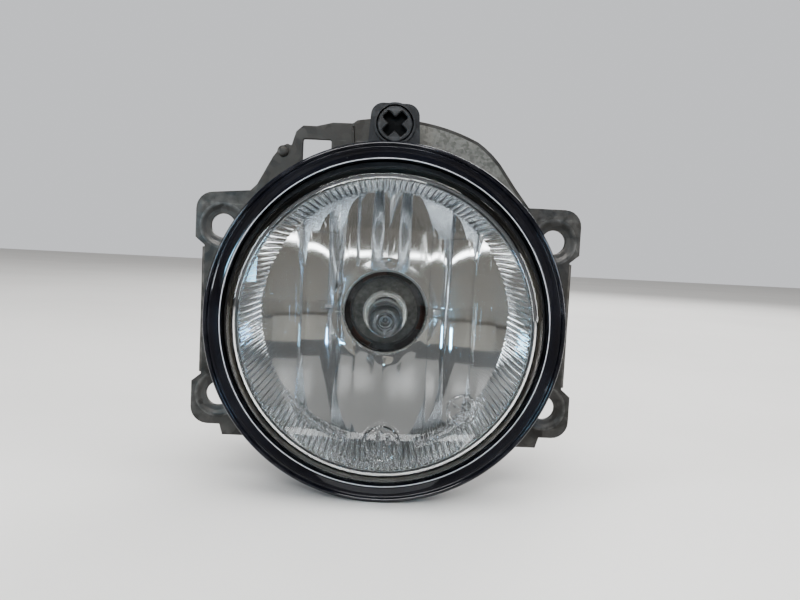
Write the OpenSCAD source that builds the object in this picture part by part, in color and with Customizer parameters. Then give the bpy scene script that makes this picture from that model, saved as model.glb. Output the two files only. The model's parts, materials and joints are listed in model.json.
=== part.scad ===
// Round front fog light on a stamped steel bracket, with an aiming screw and a twist-lock bulb.
// X is across the lamp, +Y points backwards, +Z is up. The origin is the middle of the four
// bracket holes, on the front face of their seats. The lamp shines towards -Y.

/* [Front ring] */
// Outer diameter of the front ring
ring_d = 108; // [106:1:110]
// Distance from the bracket holes forward to the lip of the ring
ring_front = 22; // [21:0.5:23]
// Depth of the ring, front to back
ring_depth = 10; // [9:0.5:11]

/* [Lens and reflector] */
// Thickness of the lens glass
lens_t = 2.5; // [2:0.1:2.8]
// How far the flat of the lens stands in front of the ring's lip
lens_proud = 8.5; // [7:0.5:10]
// Radius of the lens's rounded shoulder
shoulder_r = 4.5; // [3.5:0.5:5]
// Focal length of the reflector
focal = 24; // [23.5:0.25:24.5]
// Radius of the opening that the bulb comes through
opening_r = 15; // [14.8:0.1:15.2]

/* [Bracket] */
// Distance between the hole centres across the lamp
hole_x = 107.5; // [106:0.5:109]
// Distance between the hole centres up the lamp
hole_z = 55; // [53:0.5:57]
// Radius of the holes
hole_r = 3.85; // [3.3:0.05:4.2]
// Thickness of the sheet steel
sheet = 1.5; // [1.2:0.1:1.6]
// Radius of the opening that the housing sits in
window_r = 50; // [49:0.5:50.5]

/* [Aiming] */
// Height of the aiming screw above the lamp's axis
screw_z = 61; // [60:0.5:62]
// Radius of the aiming screw's shank
screw_r = 2.5; // [2.2:0.1:2.6]
// Radius of the aiming screw's head
head_r = 5.5; // [5:0.1:5.6]
// Distance of the side pivots behind the bracket holes
pivot_y = 9; // [8:0.5:10]
// Radius of the pivot pins
pivot_r = 2.45; // [2:0.05:2.8]

/* [Bulb] */
// Radius of the bulb's glass
glass_r = 5.6; // [5.3:0.1:5.8]
// Distance from the bulb's seat forward to the tip of the glass
bulb_reach = 41; // [40:0.5:43]
// How far below the lamp's axis the plug socket reaches
socket_drop = 40; // [36:1:42]

/* [Hidden] */
$fn = 96;
eps = 0.01;

// Radii, all taken inwards from the ring
ring_r = ring_d / 2;
lip_r = ring_r - 5.5;
lip_w = 1.2;
skin = 2;
collar_r = ring_r - 5.8;
lens_r = ring_r - 8;
wall_r = ring_r - 7.7;
wall_in_r = wall_r - 2.5;
flute_r = lens_r - lens_t - 0.3;
flute_in_r = flute_r - 0.9;
flange_r = ring_r - 0.5;

// Places along the lamp's axis
ring_y = -ring_front;
ring_back_y = ring_y + ring_depth;
flange_t = 2.5;
flat_y = ring_y - lens_proud;
dome = 2.6;
collar_y = ring_y + 3;
seal_y = ring_back_y;
seal_t = 1.5;
vertex_y = 30;
rib_t = 2.2;
mirror_t = 2;
rim_t = 1.5;
rim_y = vertex_y - pow(flute_in_r, 2) / (4 * focal);
flute_front_y = flat_y + lens_t + 1.2;

// Twist-lock neck at the back of the housing
lip_front_y = vertex_y + 0.3;
lip_back_y = vertex_y + 2;
neck_back_y = vertex_y + 9;
neck_r = 18.5;
neck_in_r = 15.5;
hub_r = 12.7;
hub_gap = 0.3;
tab_r = 14.3;
tab_w = 8;
tab_t = 1.6;
tab_count = 3;
lock_angle = 40;
tab_y = lip_front_y - 0.4;

// Screws that hold the ring
screw_count = 4;
screw_ring_r = ring_r - 2.8;
clamp_r = 1.3;

// Breather on the back of the housing, placed at [x, z]
vent_place = [-23, 23];
vent_y = 34;
vent_r = 4;
vent_bore = 1.8;

// Aiming boss and the nut in the bracket
boss_y = ring_y + 12;
boss_t = 5;
boss_half = 7.5;
boss_top = screw_z + 6.2;
boss_corner = 3.8;
head_t = 3;
head_gap = 0.25;
run_gap = 0.05;
nut_w = 8.8;
nut_slack = 0.9;
nut_back = 9;

// Side pivots
side_x = hole_x / 2 + 6.65;
pivot_boss_x = side_x - 3.1;
pivot_boss_r = 6;
bush_wall = 1.5;
bush_flange = 1.2;
bush_length = 7;
pin_head_r = 4.6;
pin_head_t = 0.9;

// Bracket outline
plate_y = -0.5;
ear_x = hole_x / 2 + 8.75;
ear_z = hole_z / 2 + 10.7;
foot_z = hole_z / 2 + 10;
tab_foot = 3.5;
ear_corner = 4;
crown_r = 64.4;
seat_r = 6.2;

// Bulb
seat_y = vertex_y;
tip_y = seat_y - bulb_reach;
envelope_t = 0.8;
pinch_y = 13.5;
collar_front_y = 13;
plate_front_y = 26.7;
base_flange_y = neck_back_y + 0.3;
socket_y = base_flange_y + 10;
blade_y = socket_y + 0.3;
oring_y = vertex_y + 5;
oring_r = 1.75;
coil_front_y = 3.8;
coil_back_y = 8.3;
coil_r = 0.7;
lead_r = 0.3;
lead_z = 2.6;
lead_gap = 0.1;
socket_w = 22;
socket_deep = 13;
mouth_w = 17.4;
mouth_deep = 8.6;
mouth_h = 19;
blade_inset = 6.5;

// Points of a circle's arc, from one angle to another
function arc(c, r, from, to, n = 12) =
    [for (i = [0:n]) let (a = from + (to - from) * i / n) [c[0] + r * cos(a), c[1] + r * sin(a)]];

// Points of a bowl, y = top - r^2 / (4 f), from one radius to another
function bowl(top, f, from, to, n = 24) =
    [for (i = [0:n]) let (r = from + (to - from) * i / n) [r, top - r * r / (4 * f)]];

// The same points, last one first
function backwards(points) = [for (i = [len(points) - 1:-1:0]) points[i]];

// Points of the lens dome, whose middle stands in front of its edge
function lens_dome(edge_r, front_y, n = 12) =
    [for (i = [0:n]) let (r = edge_r * i / n) [r, front_y - dome + dome * pow(r / edge_r, 2)]];

// A solid of revolution about the lamp's axis, from points [radius, y]
module turned(points) {
    rotate([-90, 0, 0]) rotate_extrude() polygon(points);
}

// A straight bar of round section along +Y
module rod_y(r, from, to) {
    translate([0, from, 0]) rotate([-90, 0, 0]) cylinder(r = r, h = to - from);
}

// A straight bar of round section along +X
module rod_x(r, from, to) {
    translate([from, 0, 0]) rotate([0, 90, 0]) cylinder(r = r, h = to - from);
}

// A flat shape drawn in [x, z], made thick along +Y
module slab(from, to) {
    translate([0, to, 0]) rotate([90, 0, 0]) linear_extrude(to - from) children();
}

// Copies around the lamp's axis
module around(count, start = 0) {
    for (i = [0:count - 1]) rotate([0, start + 360 * i / count, 0]) children();
}

// The left-hand shape on both sides
module both_sides() {
    children();
    mirror([1, 0, 0]) children();
}

module at_screw() {
    translate([0, 0, screw_z]) children();
}

// ---- Bracket ----

// One side of the plate from its foot up to the top of the ear, drawn for -X
function side_outline() = concat(
    [[-window_r + 9, -foot_z - tab_foot], [-hole_x / 2 + 1.8, -foot_z - tab_foot]],
    [[-hole_x / 2 + 0.8, -foot_z]],
    arc([-ear_x + ear_corner, -foot_z + ear_corner], ear_corner, 270, 180, 6),
    [[-ear_x, -hole_z / 2 + 4], [-side_x, -hole_z / 2 + 6.5]],
    [[-side_x, hole_z / 2 - 6.5], [-ear_x, hole_z / 2 - 4]],
    arc([-ear_x + ear_corner, ear_z - ear_corner], ear_corner, 180, 90, 6)
);

// The same outline on the other side of the lamp, run the other way round
function mirrored(points) = [for (i = [len(points) - 1:-1:0]) [-points[i][0], points[i][1]]];

// Stepped arm on the left of the crown
function left_arm() = [
    [-46, ear_z + 0.4], [-43.3, 41.3], [-38.5, 50.4], [-35.3, 54.2], [-34, 54.7], [-32.7, 54.1],
    [-32.3, 55.7], [-31.4, 58.7], [-29.2, 60.7], [-25, 60.7], [-19.7, 62.1], [-13.4, 62.2],
    [-11.5, 63.6]
];

// Rounded crown on the right, which steps down to the right ear
function right_crown() = concat(
    arc([0, 0], crown_r, 84, 60, 8),
    [[34, 53.2], [40.1, 44.4], [45, ear_z]]
);

module plate_outline() {
    difference() {
        polygon(concat(
            side_outline(),
            left_arm(),
            arc([0, 0], crown_r, 99, 96.5, 2),
            [[-7, boss_top - 1], [-5, boss_top + 1], [5, boss_top + 1], [7, boss_top - 1]],
            right_crown(),
            mirrored(side_outline())
        ));
        circle(r = window_r);
        translate([0, -window_r]) square([2 * (window_r - 9), 2 * window_r], center = true);
        polygon([[-29, 49], [-20, 49], [-20, 56.5], [-29, 56.4]]);
        translate([0, screw_z]) square(nut_w, center = true);
        for (x = [-1, 1], z = [-1, 1])
            translate([x * hole_x / 2, z * hole_z / 2]) circle(r = seat_r - 1);
    }
}

module ear_seat() {
    difference() {
        rod_y(seat_r, 0, sheet);
        rod_y(hole_r, -1, sheet + 1);
    }
}

// Drawn collar round the window, left out where the pivot bosses pass
module window_collar() {
    difference() {
        turned([
            [window_r, plate_y], [window_r + sheet, plate_y],
            [window_r + sheet, plate_y + 5.5], [window_r, plate_y + 5.5]
        ]);
        translate([0, 0, -window_r]) cube([200, 40, 44], center = true);
        cube([200, 40, 2 * pivot_boss_r + 8], center = true);
    }
}

// Plate bent backwards at the side, which carries the pivot pin
module side_flange() {
    difference() {
        translate([-side_x, 0, 0]) rotate([90, 0, 90]) linear_extrude(sheet) union() {
            polygon([
                [plate_y, -hole_z / 2 + 7], [2, -hole_z / 2 + 7], [pivot_y + 2, -8],
                [pivot_y + 2, 8], [2, hole_z / 2 - 7], [plate_y, hole_z / 2 - 7]
            ]);
            translate([pivot_y, 0]) circle(r = 8);
        }
        translate([0, pivot_y, 0]) rod_x(pivot_r, -side_x - 1, -side_x + sheet + 1);
    }
}

module bracket() {
    color("#8a8782") union() {
        difference() {
            slab(plate_y, plate_y + sheet) plate_outline();
            for (x = [-1, 1], z = [-1, 1])
                translate([x * hole_x / 2, 0, z * hole_z / 2]) rod_y(hole_r, -2, sheet + 1);
        }
        for (x = [-1, 1], z = [-1, 1]) translate([x * hole_x / 2, 0, z * hole_z / 2]) ear_seat();
        window_collar();
        both_sides() side_flange();
        translate([-35.3, 0, 52.2]) rod_y(1.8, plate_y - 0.8, 0);
    }
}

// Headed pin pressed into the side flange, for the left side
module pivot_pin() {
    color("#b9b9b4") translate([0, pivot_y, 0]) union() {
        rod_x(pivot_r, -side_x - eps, -pivot_boss_x + bush_length - 0.2);
        rod_x(pin_head_r, -side_x - pin_head_t, -side_x);
    }
}

module pivot_pin_left() {
    pivot_pin();
}

module pivot_pin_right() {
    mirror([1, 0, 0]) pivot_pin();
}

module adjuster_nut() {
    color("#d8d6cc") at_screw() difference() {
        union() {
            slab(plate_y - 0.3, plate_y + sheet) square(nut_w, center = true);
            slab(plate_y + sheet, plate_y + sheet + 2) square(nut_w + 2.8, center = true);
            rod_y(nut_w / 2 + 0.8, plate_y + sheet + 2 - eps, nut_back);
        }
        rod_y(screw_r + nut_slack, plate_y - 1, nut_back + 1);
    }
}

// ---- Lamp ----

// Outline of the aiming boss, [x, z]
module boss_outline() {
    union() {
        polygon([
            [-boss_half - 1.1, wall_r - 3], [boss_half + 1.1, wall_r - 3],
            [boss_half, boss_top - boss_corner], [boss_half - boss_corner, boss_top],
            [boss_corner - boss_half, boss_top], [-boss_half, boss_top - boss_corner]
        ]);
        for (x = [-1, 1])
            translate([x * (boss_half - boss_corner), boss_top - boss_corner]) circle(r = boss_corner);
    }
}

module aiming_boss() {
    slab(boss_y, boss_y + boss_t) boss_outline();
    at_screw() rod_y(head_r + 0.9, boss_y - 0.6, boss_y + 1);
}

module aiming_boss_bore() {
    at_screw() {
        rod_y(head_r + head_gap, boss_y - 2, boss_y + head_t + 0.3);
        rod_y(screw_r + run_gap, boss_y, boss_y + boss_t + 1);
    }
}

module housing_shell() {
    turned(concat(
        [[lens_r + 0.2, collar_y], [collar_r, collar_y], [collar_r, ring_back_y]],
        [[flange_r, ring_back_y], [flange_r, ring_back_y + flange_t]],
        [[collar_r, ring_back_y + flange_t], [wall_r, ring_back_y + flange_t + 2.5]],
        bowl(vertex_y + 6, focal + 1, wall_r, neck_r),
        [[neck_r, neck_back_y], [neck_in_r, neck_back_y], [neck_in_r, lip_back_y]],
        [[hub_r + hub_gap, lip_back_y], [hub_r + hub_gap, lip_front_y]],
        bowl(vertex_y + mirror_t + 1.4, focal, neck_in_r + 1.5, wall_in_r - 2),
        [[wall_in_r - 2, rim_y + rim_t], [wall_in_r, rim_y + rim_t]],
        [[wall_in_r, seal_y + seal_t], [lens_r + 0.2, seal_y + seal_t]]
    ));
}

// Stiffening ribs on the back of the housing
module back_ribs() {
    intersection() {
        turned(concat(
            bowl(vertex_y + 6 - eps, focal + 1, neck_r - 1, wall_r),
            backwards(bowl(vertex_y + 9, focal + 1, neck_r - 1, wall_r - 3))
        ));
        around(8, 22.5) translate([0, 0, -rib_t / 2]) cube([wall_r + 5, 60, rib_t]);
    }
}

module housing() {
    color("#1b1c1e") difference() {
        union() {
            housing_shell();
            back_ribs();
            aiming_boss();
            both_sides() translate([0, pivot_y, 0]) rod_x(pivot_boss_r, -pivot_boss_x, -wall_in_r - 1);
            vent_nozzle();
        }
        aiming_boss_bore();
        both_sides() translate([0, pivot_y, 0])
            rod_x(pivot_r + run_gap + bush_wall, -pivot_boss_x - 1, -pivot_boss_x + bush_length);
        around(screw_count, 45) translate([screw_ring_r, 0, 0])
            rod_y(clamp_r + 0.35, ring_back_y - 1, ring_back_y + flange_t + 1);
        around(tab_count, 90 + lock_angle) translate([tab_r - 3, lip_front_y - 1, -tab_w / 2 - 0.5])
            cube([3.5, 2.8, tab_w + 1]);
        at_vent() rod_y(vent_bore, vent_y - 14, vent_y + 5);
    }
}

// Four self-tapping screws that hold the ring against the housing's flange
module bezel_screws() {
    color("#a8a8a2") around(screw_count, 45) translate([screw_ring_r, 0, 0]) difference() {
        union() {
            rod_y(clamp_r, ring_back_y - 6, ring_back_y + flange_t);
            rod_y(2.5, ring_back_y + flange_t, ring_back_y + flange_t + 1.8);
        }
        for (a = [0, 90]) rotate([0, a, 0]) translate([0, ring_back_y + flange_t + 1.9, 0])
            cube([2.8, 2, 0.7], center = true);
    }
}

module bezel_ring() {
    color("#0b0b0d") difference() {
        union() {
            turned(concat(
                [[lip_r, ring_y + 0.5]],
                arc([lip_r + 0.5, ring_y + 0.5], 0.5, 180, 270, 4),
                [[lip_r + 1.4, ring_y], [lip_r + 1.8, ring_y + 0.4]],
                arc([ring_r - 1.8, ring_y + 2.3], 1.8, 275, 360, 8),
                [[ring_r, ring_back_y - 0.3], [ring_r - 0.3, ring_back_y]],
                [[ring_r - skin, ring_back_y], [ring_r - skin, ring_y + 1 + skin]],
                [[lip_r + lip_w, ring_y + 1 + skin], [lip_r + lip_w, ring_back_y - 0.8]],
                [[lip_r, ring_back_y - 0.8]]
            ));
            around(screw_count, 45) translate([screw_ring_r, 0, 0])
                rod_y(2.3, ring_y + 2.5, ring_back_y - 0.4);
        }
        around(screw_count, 45) translate([screw_ring_r, 0, 0])
            rod_y(clamp_r - 0.15, ring_back_y - 6.5, ring_back_y + 1);
    }
}

module lens() {
    edge_r = lens_r - shoulder_r;
    in_r = lens_r - lens_t;
    in_shoulder = shoulder_r - lens_t;
    in_dome = lens_dome(edge_r, flat_y + lens_t);
    color("#dfe9ec", 0.35) turned(concat(
        lens_dome(edge_r, flat_y),
        arc([edge_r, flat_y + shoulder_r], shoulder_r, 277, 360, 8),
        [[lens_r, seal_y], [in_r, seal_y]],
        arc([edge_r, flat_y + shoulder_r], in_shoulder, 360, 277, 6),
        backwards(in_dome)
    ));
}

module lens_seal() {
    color("#2a2a2c") turned([
        [lens_r - lens_t + 0.1, seal_y], [lens_r, seal_y],
        [lens_r, seal_y + seal_t], [lens_r - lens_t + 0.1, seal_y + seal_t]
    ]);
}

module fluted_ring() {
    color("#d5d9dc") turned([
        [flute_in_r + 0.4, flute_front_y], [flute_r, flute_front_y],
        [flute_r, rim_y], [flute_in_r, rim_y]
    ]);
}

module reflector() {
    color("#c9ced2") turned(concat(
        bowl(vertex_y, focal, opening_r, flute_in_r),
        [[flute_r, rim_y], [flute_r, rim_y + rim_t], [wall_in_r - 2.4, rim_y + rim_t]],
        backwards(bowl(vertex_y + mirror_t, focal, opening_r, wall_in_r - 2.6))
    ));
}

// Breather on the back of the housing
module at_vent() {
    translate([vent_place[0], 0, vent_place[1]]) children();
}

module vent_nozzle() {
    at_vent() rod_y(vent_r, 26.4, vent_y);
}

module vent_cap() {
    color("#111214") at_vent() difference() {
        union() {
            rod_y(vent_r + 1.6, vent_y - 4.2, vent_y + 2);
            rod_y(vent_r + 2.4, vent_y + 0.8, vent_y + 3);
        }
        rod_y(vent_r, vent_y - 6, vent_y + 1.4);
    }
}

module vent_filter() {
    color("#e6e4dd") at_vent() rod_y(vent_r - 0.1, vent_y, vent_y + 1.2);
}

// Flanged plain bush in the housing's side boss, for the left side
module pivot_bush() {
    color("#cfcabb") translate([0, pivot_y, 0]) difference() {
        union() {
            rod_x(pivot_r + run_gap + bush_wall, -pivot_boss_x - eps, -pivot_boss_x + bush_length);
            rod_x(pivot_boss_r, -pivot_boss_x - bush_flange, -pivot_boss_x);
        }
        rod_x(pivot_r + run_gap, -pivot_boss_x - 3, -pivot_boss_x + bush_length + 1);
    }
}

module pivot_bush_left() {
    pivot_bush();
}

module pivot_bush_right() {
    mirror([1, 0, 0]) pivot_bush();
}

// ---- Aiming screw ----

module adjuster_screw() {
    color("#17181a") at_screw() difference() {
        union() {
            rod_y(head_r, boss_y - 0.3, boss_y + head_t);
            rod_y(screw_r, boss_y + head_t - eps, 13);
            rod_y(screw_r - 0.7, 13 - eps, 14.5);
        }
        for (a = [45, 135]) rotate([0, a, 0]) translate([0, boss_y, 0])
            cube([8, 5, 2.6], center = true);
    }
}

// Push-on washer that keeps the aiming screw in its boss
module adjuster_clip() {
    clip_y = boss_y + boss_t + 0.3;
    color("#8d8f92") at_screw() difference() {
        rod_y(5, clip_y, clip_y + 0.8);
        rod_y(screw_r, clip_y - 1, clip_y + 2);
    }
}

// ---- Bulb ----

module bulb_glass() {
    dome_y = tip_y + glass_r;
    in_r = glass_r - envelope_t;
    color("#e8eef0", 0.3) turned(concat(
        arc([0, dome_y], glass_r, 270, 360),
        [[glass_r, pinch_y + 1], [3.5, pinch_y + 4], [3.5, plate_front_y + 1], [0, plate_front_y + 1]],
        [[0, pinch_y], [in_r - 1.4, pinch_y], [in_r, pinch_y - 2.5]],
        arc([0, dome_y], in_r, 360, 270)
    ));
}

// Coil and lead wires, along the bulb's axis
module bulb_filament() {
    color("#9a9da0") rod_y(coil_r, coil_front_y, coil_back_y);
}

module bulb_supports() {
    color("#b4b6b8") {
        rod_y(lead_r, coil_back_y, pinch_y - lead_gap);
        translate([0, 0, lead_z]) rod_y(lead_r, coil_front_y - 2 * lead_r, pinch_y - lead_gap);
        translate([0, coil_front_y - lead_r, 0]) cylinder(r = lead_r, h = lead_z);
    }
}

module bulb_collar() {
    color("#b7b4a8") turned([
        [glass_r + 0.1, collar_front_y], [6.5, collar_front_y], [6.7, collar_front_y + 1.5],
        [7.3, collar_front_y + 1.8], [7.3, collar_front_y + 4], [7.9, collar_front_y + 4.4],
        [7.9, plate_front_y], [glass_r + 0.1, plate_front_y]
    ]);
}

module bulb_plate() {
    color("#a9a79d") difference() {
        turned([
            [4, plate_front_y], [hub_r - 0.9, plate_front_y],
            [hub_r - 0.9, tab_y - tab_t], [4, tab_y - tab_t]
        ]);
        for (x = [-1, 1]) translate([x * 2.8, 0, 10]) rod_y(0.9, plate_front_y - 1, plate_front_y + 0.6);
    }
}

// Moulded base: hub with lock tabs, flange, grip and the plug socket that points down
module bulb_base() {
    color("#1d1d1f") difference() {
        union() {
            rod_y(hub_r, tab_y - tab_t, base_flange_y);
            intersection() {
                rod_y(tab_r, tab_y - tab_t, tab_y);
                around(tab_count, 90) translate([hub_r - 1.5, tab_y - tab_t - 1, -tab_w / 2])
                    cube([tab_r, tab_t + 2, tab_w]);
            }
            rod_y(neck_r - 0.3, base_flange_y, base_flange_y + 2.4);
            rod_y(13, base_flange_y, base_flange_y + 14);
            for (a = [30, 90, 150]) rotate([0, a, 0])
                translate([-15.5, base_flange_y, -1.5]) cube([31, 12, 3]);
            translate([-socket_w / 2, socket_y - socket_deep / 2, -socket_drop])
                cube([socket_w, socket_deep, socket_drop]);
            translate([-4, socket_y + socket_deep / 2 - 1, -socket_drop + 6]) cube([8, 2.8, 14]);
        }
        rod_y(9, tab_y - tab_t - 1, tab_y + 3);
        turned([
            [hub_r - 1.2, oring_y - oring_r], [hub_r + 1, oring_y - oring_r],
            [hub_r + 1, oring_y + oring_r], [hub_r - 1.2, oring_y + oring_r]
        ]);
        translate([-mouth_w / 2, socket_y - mouth_deep / 2, -socket_drop - 1])
            cube([mouth_w, mouth_deep, mouth_h + 1]);
    }
}

module bulb_oring() {
    color("#7a2f22") rotate([-90, 0, 0]) translate([0, 0, oring_y]) rotate_extrude()
        translate([neck_in_r - 0.25 - oring_r, 0]) circle(r = oring_r, $fn = 32);
}

module bulb_terminals() {
    color("#c7b680") for (x = [-1, 1])
        translate([x * 3.6 - 1.4, blade_y - 0.4, -socket_drop + blade_inset])
            cube([2.8, 0.8, mouth_h - blade_inset]);
}

bracket();
pivot_pin_left();
pivot_pin_right();
adjuster_nut();
housing();
bezel_ring();
bezel_screws();
lens();
lens_seal();
fluted_ring();
reflector();
vent_cap();
vent_filter();
pivot_bush_left();
pivot_bush_right();
adjuster_screw();
adjuster_clip();
bulb_glass();
bulb_filament();
bulb_supports();
bulb_collar();
bulb_plate();
bulb_base();
bulb_oring();
bulb_terminals();
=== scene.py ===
"""Looks for the round front fog light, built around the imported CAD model.

Each sub-assembly is a class that holds its sizes in millimetres, builds its meshes and dresses them. Every
finish is a small class that builds one node material. The lamp shines towards -Y and +Z is up.
"""
import json
import logging
import math
from collections.abc import Callable, Iterable, Sequence
from dataclasses import dataclass, field
from enum import Enum

import bmesh
import bpy
from mathutils import Euler, Matrix, Vector


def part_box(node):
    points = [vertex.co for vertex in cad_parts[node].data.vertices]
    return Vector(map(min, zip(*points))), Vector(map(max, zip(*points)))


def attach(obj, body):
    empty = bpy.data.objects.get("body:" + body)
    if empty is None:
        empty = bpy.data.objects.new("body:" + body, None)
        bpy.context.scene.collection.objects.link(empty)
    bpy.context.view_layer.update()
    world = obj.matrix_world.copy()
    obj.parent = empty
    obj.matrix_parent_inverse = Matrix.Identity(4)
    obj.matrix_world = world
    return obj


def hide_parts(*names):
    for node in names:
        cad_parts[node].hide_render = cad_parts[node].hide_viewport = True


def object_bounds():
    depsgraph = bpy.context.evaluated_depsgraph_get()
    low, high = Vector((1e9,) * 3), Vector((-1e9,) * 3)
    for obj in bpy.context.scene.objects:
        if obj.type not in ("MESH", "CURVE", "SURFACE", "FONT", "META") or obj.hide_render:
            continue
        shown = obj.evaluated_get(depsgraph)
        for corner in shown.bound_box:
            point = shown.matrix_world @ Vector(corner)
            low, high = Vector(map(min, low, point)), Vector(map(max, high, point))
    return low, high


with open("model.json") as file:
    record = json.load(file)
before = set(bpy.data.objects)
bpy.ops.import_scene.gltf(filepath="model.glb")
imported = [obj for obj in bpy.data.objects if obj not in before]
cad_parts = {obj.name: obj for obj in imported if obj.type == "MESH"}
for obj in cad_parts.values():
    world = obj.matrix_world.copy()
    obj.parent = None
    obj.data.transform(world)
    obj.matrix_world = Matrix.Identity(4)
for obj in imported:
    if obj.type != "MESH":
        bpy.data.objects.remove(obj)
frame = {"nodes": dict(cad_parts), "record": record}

CAD_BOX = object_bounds()
LOG = logging.getLogger("fog_light")
MM = 0.001

Point = tuple[float, float]
Colour = tuple[float, float, float]
Place = tuple[float, float, float]
Warp = Callable[[float, float, float], Point]


# ---------------------------------------------------------------- places taken from the frame

def low(node: str, axis: int) -> float:
    """Lowest place of a CAD node along one axis, in millimetres.

    Args:
        node: the CAD node's name.
        axis: 0, 1 or 2 for X, Y or Z.

    Returns:
        The place in millimetres.
    """
    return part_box(node)[0][axis] / MM


def high(node: str, axis: int) -> float:
    """Highest place of a CAD node along one axis, in millimetres.

    Args:
        node: the CAD node's name.
        axis: 0, 1 or 2 for X, Y or Z.

    Returns:
        The place in millimetres.
    """
    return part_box(node)[1][axis] / MM


def frame_low(node: str, axis: int) -> float:
    """A size field that is read from the frame: a CAD node's lowest place.

    Args:
        node: the CAD node's name.
        axis: 0, 1 or 2 for X, Y or Z.

    Returns:
        The field.
    """
    return field(default_factory=lambda: low(node, axis))


def frame_high(node: str, axis: int) -> float:
    """A size field that is read from the frame: a CAD node's highest place.

    Args:
        node: the CAD node's name.
        axis: 0, 1 or 2 for X, Y or Z.

    Returns:
        The field.
    """
    return field(default_factory=lambda: high(node, axis))


# ---------------------------------------------------------------- outlines

def arc(centre: Point, radius: float, start: float, end: float, steps: int = 8) -> list[Point]:
    """Points along a circle's arc.

    Args:
        centre: the circle's centre.
        radius: its radius.
        start: first angle in degrees.
        end: last angle in degrees.
        steps: how many spans the arc is cut into.

    Returns:
        The points from start to end.
    """
    angles = (math.radians(start + (end - start) * i / steps) for i in range(steps + 1))
    return [(centre[0] + radius * math.cos(a), centre[1] + radius * math.sin(a)) for a in angles]


def rounded(points: Sequence[Point], radius: float, steps: int = 3) -> list[Point]:
    """A closed outline with its corners rounded.

    Args:
        points: the outline's corners.
        radius: rounding radius, made smaller where a side is too short.
        steps: spans in each corner.

    Returns:
        The rounded outline.
    """
    result: list[Point] = []
    count = len(points)
    for i, corner in enumerate(points):
        here = Vector(corner)
        before = Vector(points[i - 1]) - here
        after = Vector(points[(i + 1) % count]) - here
        if before.length < 1e-6 or after.length < 1e-6:
            result.append(corner)
            continue
        opening = before.angle(after)
        if opening > math.radians(172) or radius <= 0:
            result.append(corner)
            continue
        reach = min(radius / math.tan(opening / 2), before.length * 0.45, after.length * 0.45)
        first = here + before.normalized() * reach
        last = here + after.normalized() * reach
        for k in range(steps + 1):
            t = k / steps
            p = first * (1 - t) ** 2 + here * 2 * t * (1 - t) + last * t ** 2
            result.append((p.x, p.y))
    return result


def mirrored(points: Sequence[Point]) -> list[Point]:
    """The same points on the other side of the lamp, in the opposite order.

    Args:
        points: the outline.

    Returns:
        The mirrored outline.
    """
    return [(-x, z) for x, z in reversed(points)]


def circle(centre: Point, radius: float, steps: int = 48) -> list[Point]:
    """A closed circle's points, without the first one repeated at the end.

    Args:
        centre: the circle's centre.
        radius: its radius.
        steps: how many points.

    Returns:
        The points.
    """
    return arc(centre, radius, 0, 360, steps)[:-1]


# ---------------------------------------------------------------- mesh shapes

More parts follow.
